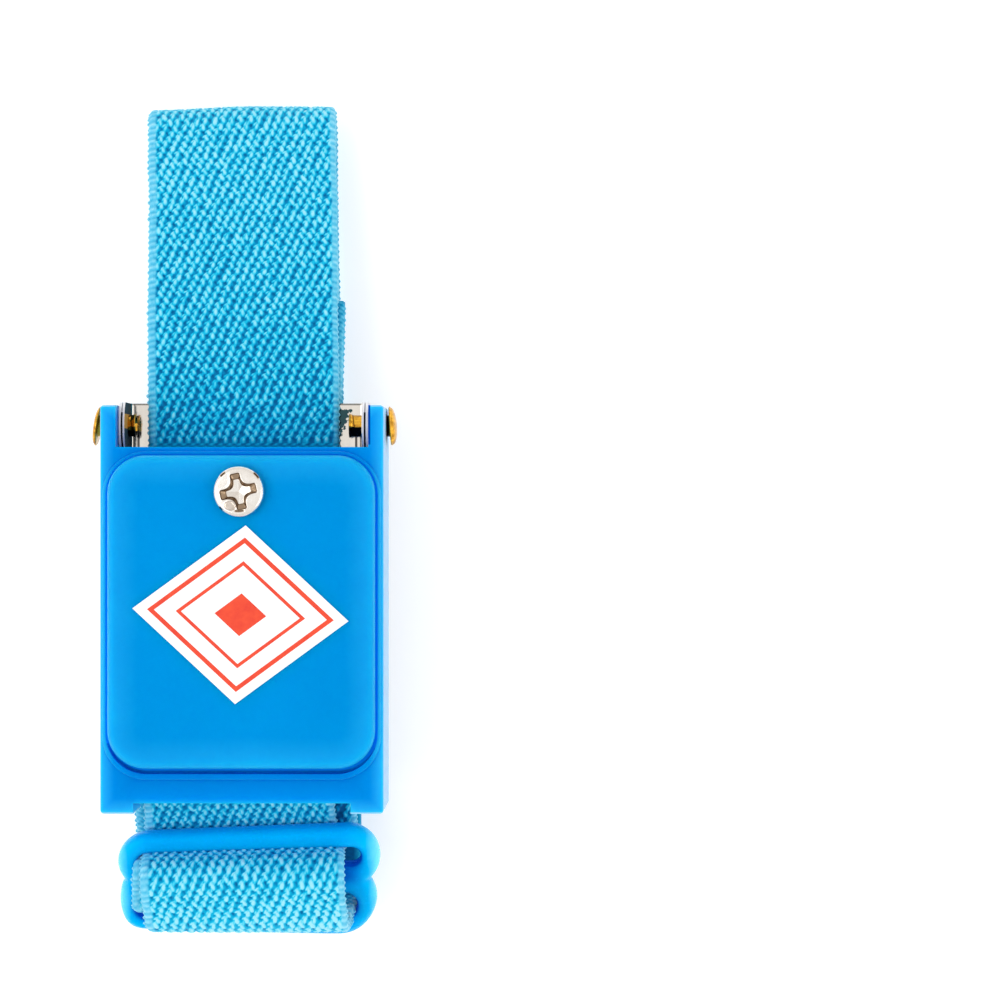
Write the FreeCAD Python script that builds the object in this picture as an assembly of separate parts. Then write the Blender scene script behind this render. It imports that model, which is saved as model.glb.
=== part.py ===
import FreeCAD, Part
import math
import os

# An antistatic wrist strap laid flat: an elastic band, a riveted clasp with a skin plate,
# a hinged case with its lid, screw and resistor, and a slider that sets the length.
# Millimetres. X runs across the band, Y along it towards the fold, Z up from the table.
# Pieces are drawn from the rivet line, and moved at the end so that the origin is the
# middle of the footprint on the table.

# Elastic band
BAND_WIDTH = 20.4
BAND_THICK = 1.3
LAYER_GAP = 0.05        # between a layer of band and what it lies on
FOLD_REACH = 34.5       # rivet line to the outside of the far fold
FOLD_RADIUS = 2.3       # middle line of the band round the far fold
WRIST_GAP = 7.04        # back run to skin plate, with the strap lying flat
FIXED_TAIL = 10.0       # sewn tail in front of the clip
SEWN_TAIL = 8.6         # sewn tail behind the slider
TAIL_START = 0.6        # start of the sewn tail's slope from the bend above it
TAIL_BEND = 4.0         # middle line of the tail where it leaves the plate
CLASP_BEND = 6.0        # middle line of the band where it leaves the clasp
CUT_BACK = 1.0          # from the round of the far fold to the cuts beside it

# Clasp
PLATE_THICK = 0.28
PLATE_END = 4.25        # end of the case to the end of the skin plate
PLATE_CORNER = 2.5
CLIP_THICK = 0.28
CLIP_FRONT = 2.4        # rivet line to the front edge of both channels
CLIP_BAR = 4.7          # front bar of the clip, which the fixed end goes round
CLIP_SLOT = 3.3
CLIP_REAR_BAR = 1.8
CLIP_SLOT_SIDE = 0.4    # band to the end of the slot
CLIP_SLOT_CORNER = 0.5
CLIP_SIDE = 2.28        # edge of the band to the outside of the clip
FLANGE_GAP = 0.1        # between the nested flanges
FLANGE_LOBE = 3.3       # radius of the flanges round the rivet
FLANGE_ROOM = 0.25      # running clearance of the case round the flanges
FLANGE_POCKET = 0.2     # inside face of the clip to the side of the pocket in the case
FLANGE_STEP = 0.4       # flanges behind the rivet below the roof of the case's channel
FLANGE_CORNER = 1.0
BEND_RADIUS = 0.35      # inside the bends of both channels

# Rivets
RIVET_SHANK = 1.1       # radius
RIVET_FIT = 0.05        # running clearance of the case on the shank
RIVET_LIFT = 0.5        # tube above the floor of the clip
RIVET_HEAD = 2.05       # radius
RIVET_DOME = 0.55
RIVET_HEAD_GAP = 0.4
RIVET_LEAN = 8.0        # degrees, the left head, which was struck askew
RIVET_SLACK = 0.25      # the left head stands out by this much more
RIVET_TUBE = 0.75       # length inside the flanges
RIVET_FLARE = 1.3       # radius at the open end
RIVET_FLARE_START = 0.3 # inside face of the clip to the start of the flare
RIVET_BORE = 0.75       # radius
RIVET_LIP = 0.25        # wall at the open end
RIVET_EDGE = 0.2        # rim of the head

# Case
CASE_SIDE_WALL = 1.45   # at the deck, measured at the ears
CASE_DRAFT = 0.15       # each side widens by this much at its foot
CASE_SIDE_GAP = 0.15    # side wall to skin plate flange
CASE_SHIFT = 0.13       # the case lies this far to the right in its side play
CASE_FRONT = 2.3        # rivet line to the front wall
CASE_LENGTH = 37.45
EAR_REACH = 2.0         # ear past the rivet line
EAR_LIP = 0.12          # ears thicker by this much above the flanges
EAR_FOOT = 0.1          # ear and wall foot above the underside of the plate
CASE_CORNER = 0.4
CASE_EDGE = 0.25        # rounding of the deck edge
ROOF_GAP = 0.25         # band to the roof of the channel under the case
CASE_FLOOR = 1.1
CAVITY_DEPTH = 5.0      # cavity floor to deck
CAVITY_FRONT_WALL = 2.0
CAVITY_SIDE_WALL = 2.4
CAVITY_END_WALL = 6.35
CAVITY_CORNER = 2.0
NOTCH_SIDE = 0.9        # edge of the band to the side of the notch in the end wall
NOTCH_DEPTH = 1.1
RIM_HEIGHT = 0.3
RIM_SIDE = 0.25         # rim to the side of the deck
RIM_FRONT = 0.4         # rim to the front edge of the deck
RIM_END = 3.5           # rim to the end of the deck
RIM_CORNER = 4.5
RIM_EDGE = 0.18

# Lid
LID_SIDE = 0.83         # side of the deck to the lid
LID_FRONT = 0.85        # front of the deck to the lid
LID_END = 4.7           # end of the deck to the lid
LID_CORNER = 3.9
LID_GAP = 0.25          # round the sides of the lid
LID_GAP_FRONT = 0.1
LID_GAP_END = 0.6       # where a fingernail lifts the lid
LID_SEAT = 1.0          # the ledge that the lid sits on, below the deck
LID_PROUD = 1.4         # lid above the deck
LID_EDGE = 0.8
LID_SKIRT = 1.2         # depth of the skirt inside the cavity
LID_SKIRT_WALL = 0.9
LID_SKIRT_GAP = 0.15    # skirt to the wall of the cavity
LID_BOSS = 2.4          # radius of the boss round the screw hole

# Lid screw and its nut
SCREW_LINE = 6.85       # rivet line to the screw
SCREW_HEAD = 2.58       # radius
SCREW_HEAD_HEIGHT = 1.2
SCREW_HEAD_EDGE = 0.55
SCREW_SHANK = 1.45      # radius
SCREW_LENGTH = 6.0      # under the head
SCREW_HOLE = 1.6        # radius of the hole in the lid
SCREW_PLAY = 0.2        # screw to the wall of its bore in the case
RECESS_ARM = 0.7        # width of the cross recess
RECESS_REACH = 1.55
RECESS_DEPTH = 0.8
RECESS_TURN = 15.0      # degrees
NUT_FLATS = 5.5
NUT_THICK = 1.8
NUT_PLAY = 0.1          # across flats, nut to its pocket
POST_WALL = 1.3         # of the post round the nut
LUG_THICK = 0.3
LUG_RADIUS = 2.6
LUG_TAIL = 5.5
LUG_TAIL_WIDTH = 1.6
LUG_PLAY = 0.05         # screw to the hole of the lug
LUG_EYE = 1.0           # end of the tail to the eye for the lead

# Resistor and contact leaf
RESISTOR_RADIUS = 1.15
RESISTOR_WAIST = 0.95
RESISTOR_LENGTH = 6.3
RESISTOR_CAP = 1.5      # length of each bulged end
RESISTOR_EDGE = 0.45
RESISTOR_GAP = 0.05     # body to the cavity floor
RESISTOR_BACK = 8.0     # middle of the leaf to the middle of the resistor
LEAD_RADIUS = 0.3
LEAD_BEND = 0.85        # middle line of the leads round their bends
LEAD_SIDE = 2.2         # out of the body before the first bend
LEAD_DROP = 3.2         # length over which one lead comes down to the leaf
LEAD_STUB = 0.3         # lead above the lug
LEAF_THICK = 0.25
LEAF_WIDTH = 2.4
LEAF_BACK = 4.4         # end of the cavity to the middle of the leaf
LEAF_SIDE = 1.0         # edge of the band to the leg of the leaf
LEAF_TAIL = 3.15        # lead on the leaf to the end of the leaf
LEAF_BEND = 0.6         # outside of the bend down to the leg
LEAF_GAP = 0.05         # leg to skin plate
LEAF_SLOT = 0.5         # half width of the slot for the leg
LEAF_SLOT_END = 0.2     # leg to the end of its slot

# Label
LABEL_HALF_X = 10.98
LABEL_HALF_Y = 9.08
LABEL_THICK = 0.12
LABEL_LOW = 0.25        # middle of the lid to the middle of the label
LABEL_TURN = -3.4       # degrees

# Slider
SLIDER_RAIL = 2.05      # end of a window to the end of the slider
SLIDER_THICK = 2.2
SLIDER_BAR = 2.45       # upper and lower bars
SLIDER_MIDDLE_BAR = 2.5
SLIDER_WINDOW = 2.8
SLIDER_WINDOW_SIDE = 1.55   # edge of the band to the end of a window
SLIDER_WINDOW_CORNER = 1.3
SLIDER_LOBE = 3.75      # radius of the ends
SLIDER_EDGE = 0.6
SLIDER_WAIST = 4.5      # radius of the hollow between the two ends
SLIDER_TILT = 24.0      # degrees, lower bar down
SLIDER_STAND_OFF = 7.85 # end of the case to the middle bar
SLIDER_DROP = 3.0       # middle bar below the upper layer in the case

# Layers of the band in the slider, as heights and distances on the slider's own axes
PASSING_GAP = 0.15      # passing layer to the underside of the bars
PASSING_CUT = 2.5       # upper edge of the slider to the cut in the passing layer
BULGE_RISE = 4.0        # corner above the upper window
BULGE_REACH = 4.3       # corner above the lower window, as far out as it is down
PASSING_LOW = 1.7       # corner where the layer turns down through the lower window
FLOOR_RUN = 3.4         # length on the table up to the back run
PASSING_BENDS = [1.2, 2.1, 1.7, 3.0, 2.5]
SEWN_GAP = 0.1          # sewn layer to the top of the middle bar
SEWN_CUT = 2.8          # upper edge of the slider to the cut in the sewn layer
SEWN_BEND = 1.0
LOOP_UPPER_BEND = 3.5
LOOP_LOWER_BEND = 2.0

# Cutting tools reach this far beyond what they cut
AMPLE = 30.0

# Worked out: heights of what lies on what
half_band = BAND_THICK / 2.0
back_run_level = half_band
plate_low = BAND_THICK + WRIST_GAP
plate_top = plate_low + PLATE_THICK
lower_level = plate_top + LAYER_GAP + half_band
clip_low = lower_level + half_band + LAYER_GAP
clip_top = clip_low + CLIP_THICK
upper_level = clip_top + LAYER_GAP + half_band
channel_roof = upper_level + half_band + ROOF_GAP
cavity_floor = channel_roof + CASE_FLOOR
deck = cavity_floor + CAVITY_DEPTH
lid_seat = deck - LID_SEAT
lid_top = deck + LID_PROUD
wall_foot = plate_low + EAR_FOOT
rivet_level = clip_top + RIVET_SHANK + RIVET_LIFT

# Worked out: distances along the strap
clip_slot_front = CLIP_FRONT - CLIP_BAR
clip_slot_rear = clip_slot_front - CLIP_SLOT
clip_rear = clip_slot_rear - CLIP_REAR_BAR
case_front = -CASE_FRONT
case_end = case_front - CASE_LENGTH
lid_front = case_front - LID_FRONT
lid_end = case_end + LID_END
label_y = (lid_front + lid_end) / 2.0 - LABEL_LOW
cavity_front = case_front - CAVITY_FRONT_WALL
cavity_end = case_end + CAVITY_END_WALL
plate_end = case_end + PLATE_END
leaf_y = cavity_end + LEAF_BACK
resistor_y = leaf_y + RESISTOR_BACK
lead_x = RESISTOR_LENGTH / 2.0 + LEAD_SIDE
back_split = case_end / 2.0

# Worked out: distances across the strap
half_width = BAND_WIDTH / 2.0
clip_half = half_width + CLIP_SIDE
plate_half = clip_half + FLANGE_GAP + PLATE_THICK
ear_inside = plate_half + CASE_SIDE_GAP
case_half = ear_inside + CASE_SIDE_WALL
cavity_half = case_half - CAVITY_SIDE_WALL
lid_half = case_half - LID_SIDE
notch_half = half_width + NOTCH_SIDE
leaf_x = half_width + LEAF_SIDE
window_half = half_width + SLIDER_WINDOW_SIDE
slider_half = window_half + SLIDER_RAIL

# Worked out: the slider's own axes, u down the slider and v out of its face
tilt = math.radians(SLIDER_TILT)
slider_y = case_end - SLIDER_STAND_OFF
slider_z = upper_level - SLIDER_DROP
window_in = SLIDER_MIDDLE_BAR / 2.0
window_out = window_in + SLIDER_WINDOW
slider_end = window_out + SLIDER_BAR
layer_fit = (SLIDER_WINDOW - 2.0 * BAND_THICK) / 3.0
sewn_u = window_in + layer_fit + half_band
passing_u = sewn_u + BAND_THICK + layer_fit
passing_under = -(SLIDER_THICK / 2.0 + PASSING_GAP + half_band)
sewn_over = SLIDER_THICK / 2.0 + SEWN_GAP + half_band
sewn_under = passing_under - BAND_THICK - LAYER_GAP
tail_under = sewn_under - BAND_THICK - LAYER_GAP


def vec(x, y, z):
    return FreeCAD.Vector(x, y, z)


def block(x0, x1, y0, y1, z0, z1):
    return Part.makeBox(x1 - x0, y1 - y0, z1 - z0, vec(x0, y0, z0))


def rounded_wire(half, y_low, y_high, z, radius):
    """A rectangle with round corners, level at height z."""
    corners = [(half, y_low), (half, y_high), (-half, y_high), (-half, y_low)]
    edges = []
    lean = radius * (1.0 - math.sqrt(0.5))
    turn = [(0, 1), (-1, 0), (0, -1), (1, 0)]
    for index, (x, y) in enumerate(corners):
        into = turn[index - 1]
        out = turn[index]
        start = vec(x - into[0] * radius, y - into[1] * radius, z)
        end = vec(x + out[0] * radius, y + out[1] * radius, z)
        side_x = -1 if x > 0 else 1
        side_y = 1 if y == y_low else -1
        middle = vec(x + side_x * lean, y + side_y * lean, z)
        edges.append((start, middle, end))
    pieces = []
    for index, (start, middle, end) in enumerate(edges):
        previous_end = edges[index - 1][2]
        pieces.append(Part.makeLine(previous_end, start))
        pieces.append(Part.Arc(start, middle, end).toShape())
    return Part.Wire(pieces)


def rounded_block(half, y_low, y_high, z_low, z_high, radius):
    face = Part.Face(rounded_wire(half, y_low, y_high, z_low, radius))
    return face.extrude(vec(0, 0, z_high - z_low))


def path_of(corners, radii):
    """Straight runs and tangent arcs along a route of (y, z) corners.

    Gives a list of ('line', start, end) and ('arc', start, middle, end, centre, turn).
    """
    points = [FreeCAD.Vector(0, y, z) for y, z in corners]
    runs = []
    here = points[0]
    for index in range(1, len(points) - 1):
        before, corner, after = points[index - 1], points[index], points[index + 1]
        into = (corner - before).normalize()
        out = (after - corner).normalize()
        cross = into.y * out.z - into.z * out.y
        side = 1.0 if cross > 0 else -1.0
        angle = math.acos(max(-1.0, min(1.0, into.dot(out))))
        radius = radii[index - 1]
        reach = radius * math.tan(angle / 2.0)
        start = corner - into * reach
        end = corner + out * reach
        normal = FreeCAD.Vector(0, -into.z, into.y) * side
        centre = start + normal * radius
        to_corner = (corner - centre).normalize()
        middle = centre + to_corner * radius
        runs.append(("line", here, start))
        runs.append(("arc", start, middle, end, centre, side))
        here = end
    runs.append(("line", here, points[-1]))
    return runs


def side_of(run, offset):
    """One side of a run, moved by offset to its left, as an edge or None when it has no length."""
    if run[0] == "line":
        start, end = run[1], run[2]
        if (end - start).Length < 1e-6:
            return None
        along = (end - start).normalize()
        left = FreeCAD.Vector(0, -along.z, along.y) * offset
        return Part.makeLine(start + left, end + left)
    start, middle, end, centre, side = run[1:]
    radius = (start - centre).Length
    scale = (radius - side * offset) / radius
    moved = [centre + (point - centre) * scale for point in (start, middle, end)]
    return Part.Arc(*moved).toShape()


def ribbon(corners, radii):
    """A length of band whose middle line follows the route."""
    runs = path_of(corners, radii)
    left = [edge for edge in (side_of(run, half_band) for run in runs) if edge]
    right = [edge for edge in (side_of(run, -half_band) for run in runs) if edge]
    first = Part.makeLine(right[0].Vertexes[0].Point, left[0].Vertexes[0].Point)
    last = Part.makeLine(left[-1].Vertexes[-1].Point, right[-1].Vertexes[-1].Point)
    wire = Part.Wire(Part.__sortEdges__(left + [last] + right + [first]))
    face = Part.Face(wire)
    face.translate(vec(-half_width, 0, 0))
    strip = face.extrude(vec(BAND_WIDTH, 0, 0))
    if strip.Volume < 0:
        strip.reverse()
    return strip


def on_slider(u, v):
    """A (y, z) point from the slider's own axes."""
    y = slider_y - u * math.cos(tilt) - v * math.sin(tilt)
    z = slider_z - u * math.sin(tilt) + v * math.cos(tilt)
    return (y, z)


def fold_corners():
    """The two corners of the far fold, for a front run that leaves it at a tangent."""
    rise_y, rise_z = front_bend()
    centre_y = FOLD_REACH - half_band - FOLD_RADIUS
    centre_z = back_run_level + FOLD_RADIUS
    away = math.hypot(rise_y - centre_y, rise_z - centre_z)
    slope = math.atan2(rise_z - centre_z, centre_y - rise_y) - math.asin(FOLD_RADIUS / away)
    outer = FOLD_REACH - half_band
    reach = FOLD_RADIUS * math.tan((math.pi / 2.0 - slope) / 2.0)
    return (outer, back_run_level), (outer, centre_z + reach), slope


def front_bend():
    """Where the front run leaves the floor of the clip and starts down to the fold."""
    return CLIP_FRONT + BAND_THICK, upper_level


def front_point(distance, below=0.0):
    """A point of the front run's middle line, this far along it from its bend."""
    slope = fold_corners()[2]
    y, z = front_bend()
    y += distance * math.cos(slope) - below * math.sin(slope)
    z -= distance * math.sin(slope) + below * math.cos(slope)
    return (y, z)


def strap_cuts():
    """Where the band is cut into the lengths that ride on different bodies."""
    fold_high = fold_corners()[1]
    straight = math.hypot(fold_high[0] - front_bend()[0], fold_high[1] - front_bend()[1])
    front_cut = front_point(straight - FOLD_RADIUS - CUT_BACK)
    back_cut = (FOLD_REACH - half_band - FOLD_RADIUS - CUT_BACK, back_run_level)
    return front_cut, back_cut


def front_run():
    front_cut = strap_cuts()[0]
    return ribbon([front_cut, front_bend(), (clip_slot_front, upper_level)], [CLASP_BEND])


def fixed_end():
    """The end of the band, taken round the clip's front bar and sewn to its own underside."""
    turn = (upper_level - lower_level) / 2.0
    wrap = clip_slot_front - turn
    under_spacing = BAND_THICK + LAYER_GAP
    tail_start = front_point(TAIL_START, under_spacing)
    tail_end = front_point(FIXED_TAIL, under_spacing)
    slope = fold_corners()[2]
    bend_y = tail_start[0] - (lower_level - tail_start[1]) / math.tan(slope)
    corners = [(clip_slot_front, upper_level), (wrap, upper_level), (wrap, lower_level),
               (bend_y, lower_level), tail_end]
    return ribbon(corners, [turn, turn, TAIL_BEND])


def top_fold():
    front_cut, back_cut = strap_cuts()
    fold_low, fold_high = fold_corners()[:2]
    return ribbon([back_cut, fold_low, fold_high, front_cut], [FOLD_RADIUS, FOLD_RADIUS])


def back_run(y_low, y_high):
    return ribbon([(y_low, back_run_level), (y_high, back_run_level)], [])


def slider_bend_points():
    """The passing layer: under the upper bar, over the middle, down the lower window."""
    down_y, down_z = on_slider(passing_u, passing_under)
    drop = down_z - back_run_level
    floor_y = down_y + drop * math.tan(tilt)
    return [on_slider(-slider_end - PASSING_CUT, passing_under),
            on_slider(-passing_u, passing_under),
            on_slider(-passing_u, BULGE_RISE),
            on_slider(BULGE_REACH, BULGE_REACH),
            on_slider(passing_u, PASSING_LOW),
            (floor_y, back_run_level),
            (floor_y + FLOOR_RUN, back_run_level)]


def slider_bend():
    return ribbon(slider_bend_points(), PASSING_BENDS)


def sewn_loop():
    """The other end of the band, sewn round the middle bar."""
    corners = [on_slider(-slider_end - SEWN_CUT, sewn_under),
               on_slider(-sewn_u, sewn_under),
               on_slider(-sewn_u, sewn_over),
               on_slider(sewn_u, sewn_over),
               on_slider(sewn_u, tail_under),
               on_slider(-SEWN_TAIL, tail_under)]
    return ribbon(corners, [SEWN_BEND] * 4)


def loop_entry(v, level):
    """Where a layer parallel to the slider meets its level stretch in the case."""
    u = (slider_z + v * math.cos(tilt) - level) / math.sin(tilt)
    return on_slider(u, v)


def loop_upper_run():
    start = (clip_slot_rear, upper_level)
    bend = loop_entry(passing_under, upper_level)
    return ribbon([start, bend, on_slider(-slider_end - PASSING_CUT, passing_under)], [LOOP_UPPER_BEND])


def loop_lower_run():
    start = (clip_rear, lower_level)
    bend = loop_entry(sewn_under, lower_level)
    return ribbon([start, bend, on_slider(-slider_end - SEWN_CUT, sewn_under)], [LOOP_LOWER_BEND])


def clip_turn():
    """The band taken round the clip's rear bar."""
    turn = (upper_level - lower_level) / 2.0
    wrap = clip_slot_rear + turn
    corners = [(clip_slot_rear, upper_level), (wrap, upper_level), (wrap, lower_level),
               (clip_rear, lower_level)]
    return ribbon(corners, [turn, turn])


def channel(half, low, thick, y_low, y_high, height):
    """A folded sheet channel along Y, open at the top, with round bends."""
    outer_r = BEND_RADIUS + thick
    outer = block(-half, half, y_low, y_high, low, low + height)
    inner = block(-half + thick, half - thick, y_low - 1.0, y_high + 1.0, low + thick, low + height + 1.0)
    outer = round_low_edges(outer, half, low, outer_r)
    inner = round_low_edges(inner, half - thick, low + thick, BEND_RADIUS)
    return outer.cut(inner)


def round_low_edges(solid, half, low, radius):
    edges = []
    for edge in solid.Edges:
        box = edge.BoundBox
        long_way = box.YLength > 1.0 and box.XLength < 1e-6 and box.ZLength < 1e-6
        if long_way and abs(box.ZMin - low) < 1e-6 and abs(abs(box.XMin) - half) < 1e-6:
            edges.append(edge)
    return solid.makeFillet(radius, edges)


def flange_outline(low):
    """Side view of a flange: a lobe round the rivet on a lower strip along the channel."""
    lobe = cross_bore(FLANGE_LOBE).common(block(-AMPLE, AMPLE, -AMPLE, CLIP_FRONT, 0, AMPLE))
    front = block(-AMPLE, AMPLE, 0, CLIP_FRONT, low, rivet_level)
    strip_top = channel_roof - FLANGE_STEP
    strip = block(-AMPLE, AMPLE, clip_rear, CLIP_FRONT, low, strip_top)
    rear_corner = [edge for edge in strip.Edges
                   if edge.BoundBox.YMax < clip_rear + 1e-6 and edge.BoundBox.ZMin > strip_top - 1e-6]
    strip = strip.makeFillet(FLANGE_CORNER, rear_corner)
    return lobe.fuse([front, strip]).removeSplitter()


def cross_bore(radius):
    """A cylinder along the rivet line, right across the strap."""
    return Part.makeCylinder(radius, 2.0 * AMPLE, vec(-AMPLE, 0, rivet_level), vec(1, 0, 0))


def screw_bore(radius, low):
    """A cylinder up the screw's line from this height."""
    return Part.makeCylinder(radius, AMPLE, vec(0, -SCREW_LINE, low))


def contact_plate():
    height = rivet_level + FLANGE_LOBE - plate_low
    folded = channel(plate_half, plate_low, PLATE_THICK, clip_rear, CLIP_FRONT, height)
    folded = folded.common(flange_outline(plate_low))
    tongue = rounded_block(clip_half, plate_end, CLIP_FRONT, plate_low, plate_top, PLATE_CORNER)
    overlap_y = clip_rear + BEND_RADIUS
    tongue = tongue.common(block(-AMPLE, AMPLE, plate_end, overlap_y, plate_low, plate_top))
    plate = folded.fuse(tongue).removeSplitter()
    return plate.cut(cross_bore(RIVET_SHANK))


def strap_clip():
    height = rivet_level + FLANGE_LOBE - clip_low
    clip = channel(clip_half, clip_low, CLIP_THICK, clip_rear, CLIP_FRONT, height)
    clip = clip.common(flange_outline(clip_low))
    slot_half = half_width + CLIP_SLOT_SIDE
    slot = rounded_block(slot_half, clip_slot_rear, clip_slot_front, clip_low, clip_top, CLIP_SLOT_CORNER)
    return clip.cut([slot, cross_bore(RIVET_SHANK)])


def rivet_head(gap_x):
    """A shallow dome with a thin rolled edge, its flat face at gap_x."""
    top_x = gap_x + RIVET_DOME
    edge = RIVET_EDGE
    rise = RIVET_DOME - edge
    dome = (RIVET_HEAD ** 2 + rise ** 2) / (2.0 * rise)
    half_way = math.asin(RIVET_HEAD / dome) / 2.0
    dome_mid = vec(top_x - dome * (1.0 - math.cos(half_way)), dome * math.sin(half_way), 0)
    outline = [
        Part.makeLine(vec(gap_x, 0, 0), vec(top_x, 0, 0)),
        Part.Arc(vec(top_x, 0, 0), dome_mid, vec(gap_x + edge, RIVET_HEAD, 0)).toShape(),
        Part.makeLine(vec(gap_x + edge, RIVET_HEAD, 0), vec(gap_x, RIVET_HEAD - edge, 0)),
        Part.makeLine(vec(gap_x, RIVET_HEAD - edge, 0), vec(gap_x, 0, 0)),
    ]
    return Part.Face(Part.Wire(outline)).revolve(vec(0, 0, 0), vec(1, 0, 0), 360)


def rivet_tube(head_x):
    """The shank with its hollow end flared inside the clip."""
    seat_x = clip_half - CLIP_THICK
    end_x = seat_x - RIVET_TUBE
    bore_x = seat_x + CLIP_THICK
    flare_x = seat_x - RIVET_FLARE_START
    lip = RIVET_FLARE - RIVET_LIP
    points = [vec(bore_x, 0, 0), vec(head_x, 0, 0), vec(head_x, RIVET_SHANK, 0),
              vec(flare_x, RIVET_SHANK, 0), vec(end_x, RIVET_FLARE, 0), vec(end_x, lip, 0),
              vec(bore_x, RIVET_BORE, 0)]
    outline = Part.makePolygon(points + [points[0]])
    return Part.Face(outline).revolve(vec(0, 0, 0), vec(1, 0, 0), 360)


def rivet(side, lean, slack):
    """A tubular rivet: domed head outside the ear, open flared end inside the clip."""
    head_x = case_half + CASE_DRAFT + RIVET_HEAD_GAP + slack
    head = rivet_head(head_x)
    head.rotate(vec(head_x, 0, 0), vec(0, 0, 1), -lean)
    solid = head.fuse(rivet_tube(head_x + RIVET_EDGE)).removeSplitter()
    if side < 0:
        solid = solid.mirror(vec(0, 0, 0), vec(1, 0, 0))
    solid.translate(vec(0, 0, rivet_level))
    return solid


def case_block():
    """The outside of the case with its ears, drawn in towards the deck."""
    foot = rounded_wire(case_half + CASE_DRAFT, case_end, EAR_REACH, wall_foot, CASE_CORNER)
    top = rounded_wire(case_half, case_end, EAR_REACH, deck, CASE_CORNER)
    body = Part.makeLoft([foot, top], True, True)
    top_edges = [edge for edge in body.Edges if edge.BoundBox.ZMin > deck - 1e-6]
    return body.makeFillet(CASE_EDGE, top_edges)


def case_shell():
    body = case_block()
    rim = rounded_block(case_half - RIM_SIDE, case_end + RIM_END, case_front - RIM_FRONT,
                        lid_seat, deck + RIM_HEIGHT, RIM_CORNER)
    rim_top = [edge for edge in rim.Edges if edge.BoundBox.ZMin > deck + RIM_HEIGHT - 1e-6]
    body = body.fuse(rim.makeFillet(RIM_EDGE, rim_top))
    lip_level = rivet_level + FLANGE_LOBE + FLANGE_ROOM
    lip_half = ear_inside - EAR_LIP
    between_ears = block(-ear_inside, ear_inside, case_front, AMPLE, 0, lip_level)
    between_lips = block(-lip_half, lip_half, case_front, AMPLE, lip_level, AMPLE)
    under = block(-ear_inside, ear_inside, case_end - AMPLE, AMPLE, 0, channel_roof)
    notch = block(-notch_half, notch_half, case_end - AMPLE, case_end + NOTCH_DEPTH, 0, AMPLE)
    seat = rounded_block(lid_half + LID_GAP, lid_end - LID_GAP_END, lid_front + LID_GAP_FRONT,
                         lid_seat, AMPLE, LID_CORNER + LID_GAP)
    cavity = rounded_block(cavity_half, cavity_end, cavity_front, cavity_floor, deck, CAVITY_CORNER)
    body = body.cut([between_ears, between_lips, under, notch, seat, cavity]).fuse(screw_post())
    slot_half_y = LEAF_WIDTH / 2.0 + LEAF_SLOT_END
    leaf_slot = block(leaf_x - LEAF_SLOT, leaf_x + LEAF_SLOT, leaf_y - slot_half_y,
                      leaf_y + slot_half_y, channel_roof, cavity_floor)
    bore = screw_bore(SCREW_SHANK + SCREW_PLAY, lid_top - SCREW_LENGTH - SCREW_PLAY)
    nut_pocket = hexagon(NUT_FLATS + NUT_PLAY, nut_low(), LID_SKIRT + LUG_THICK + NUT_THICK)
    pin_hole = cross_bore(RIVET_SHANK + RIVET_FIT)
    cuts = [leaf_slot, bore, nut_pocket, pin_hole, flange_pocket(-1), flange_pocket(1)]
    return body.cut(cuts).removeSplitter()


def flange_pocket(side):
    """Room for the flanges on one side, round the rivet line, as the case swings."""
    inside = clip_half - CLIP_THICK - FLANGE_POCKET
    start = inside if side > 0 else -ear_inside
    return Part.makeCylinder(FLANGE_LOBE + FLANGE_ROOM, ear_inside - inside,
                             vec(start, 0, rivet_level), vec(1, 0, 0))


def nut_low():
    return lid_seat - LID_SKIRT - LUG_THICK - NUT_THICK


def screw_post():
    """A solid post in the cavity, tied to the front wall, that the nut sits in."""
    height = lug_low() - cavity_floor
    post = Part.makeCylinder(NUT_FLATS / 2.0 + POST_WALL, height, vec(0, -SCREW_LINE, cavity_floor))
    front_wall_middle = (cavity_front + case_front) / 2.0
    inside = block(-cavity_half, cavity_half, cavity_end, front_wall_middle, cavity_floor, deck)
    return post.common(inside)


def hexagon(flats, low, height):
    radius = flats / 2.0 / math.cos(math.pi / 6.0)
    points = []
    for index in range(7):
        angle = math.radians(60.0 * index)
        points.append(vec(radius * math.cos(angle), -SCREW_LINE + radius * math.sin(angle), low))
    return Part.Face(Part.makePolygon(points)).extrude(vec(0, 0, height))


def case_lid():
    lid = rounded_block(lid_half, lid_end, lid_front, lid_seat, lid_top, LID_CORNER)
    top_edges = [edge for edge in lid.Edges if edge.BoundBox.ZMin > lid_top - 1e-6]
    lid = lid.makeFillet(LID_EDGE, top_edges)
    skirt_low = lid_seat - LID_SKIRT
    skirt_end = cavity_end + LID_SKIRT_GAP
    skirt_front = cavity_front - LID_SKIRT_GAP
    skirt_half = cavity_half - LID_SKIRT_GAP
    skirt_corner = CAVITY_CORNER - LID_SKIRT_GAP
    skirt = rounded_block(skirt_half, skirt_end, skirt_front, skirt_low, lid_seat, skirt_corner)
    hollow = rounded_block(skirt_half - LID_SKIRT_WALL, skirt_end + LID_SKIRT_WALL,
                           skirt_front - LID_SKIRT_WALL, skirt_low, lid_seat,
                           skirt_corner - LID_SKIRT_WALL)
    boss = Part.makeCylinder(LID_BOSS, LID_SKIRT, vec(0, -SCREW_LINE, skirt_low))
    lid = lid.fuse([skirt.cut(hollow), boss])
    return lid.cut(screw_bore(SCREW_HOLE, skirt_low)).removeSplitter()


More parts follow.
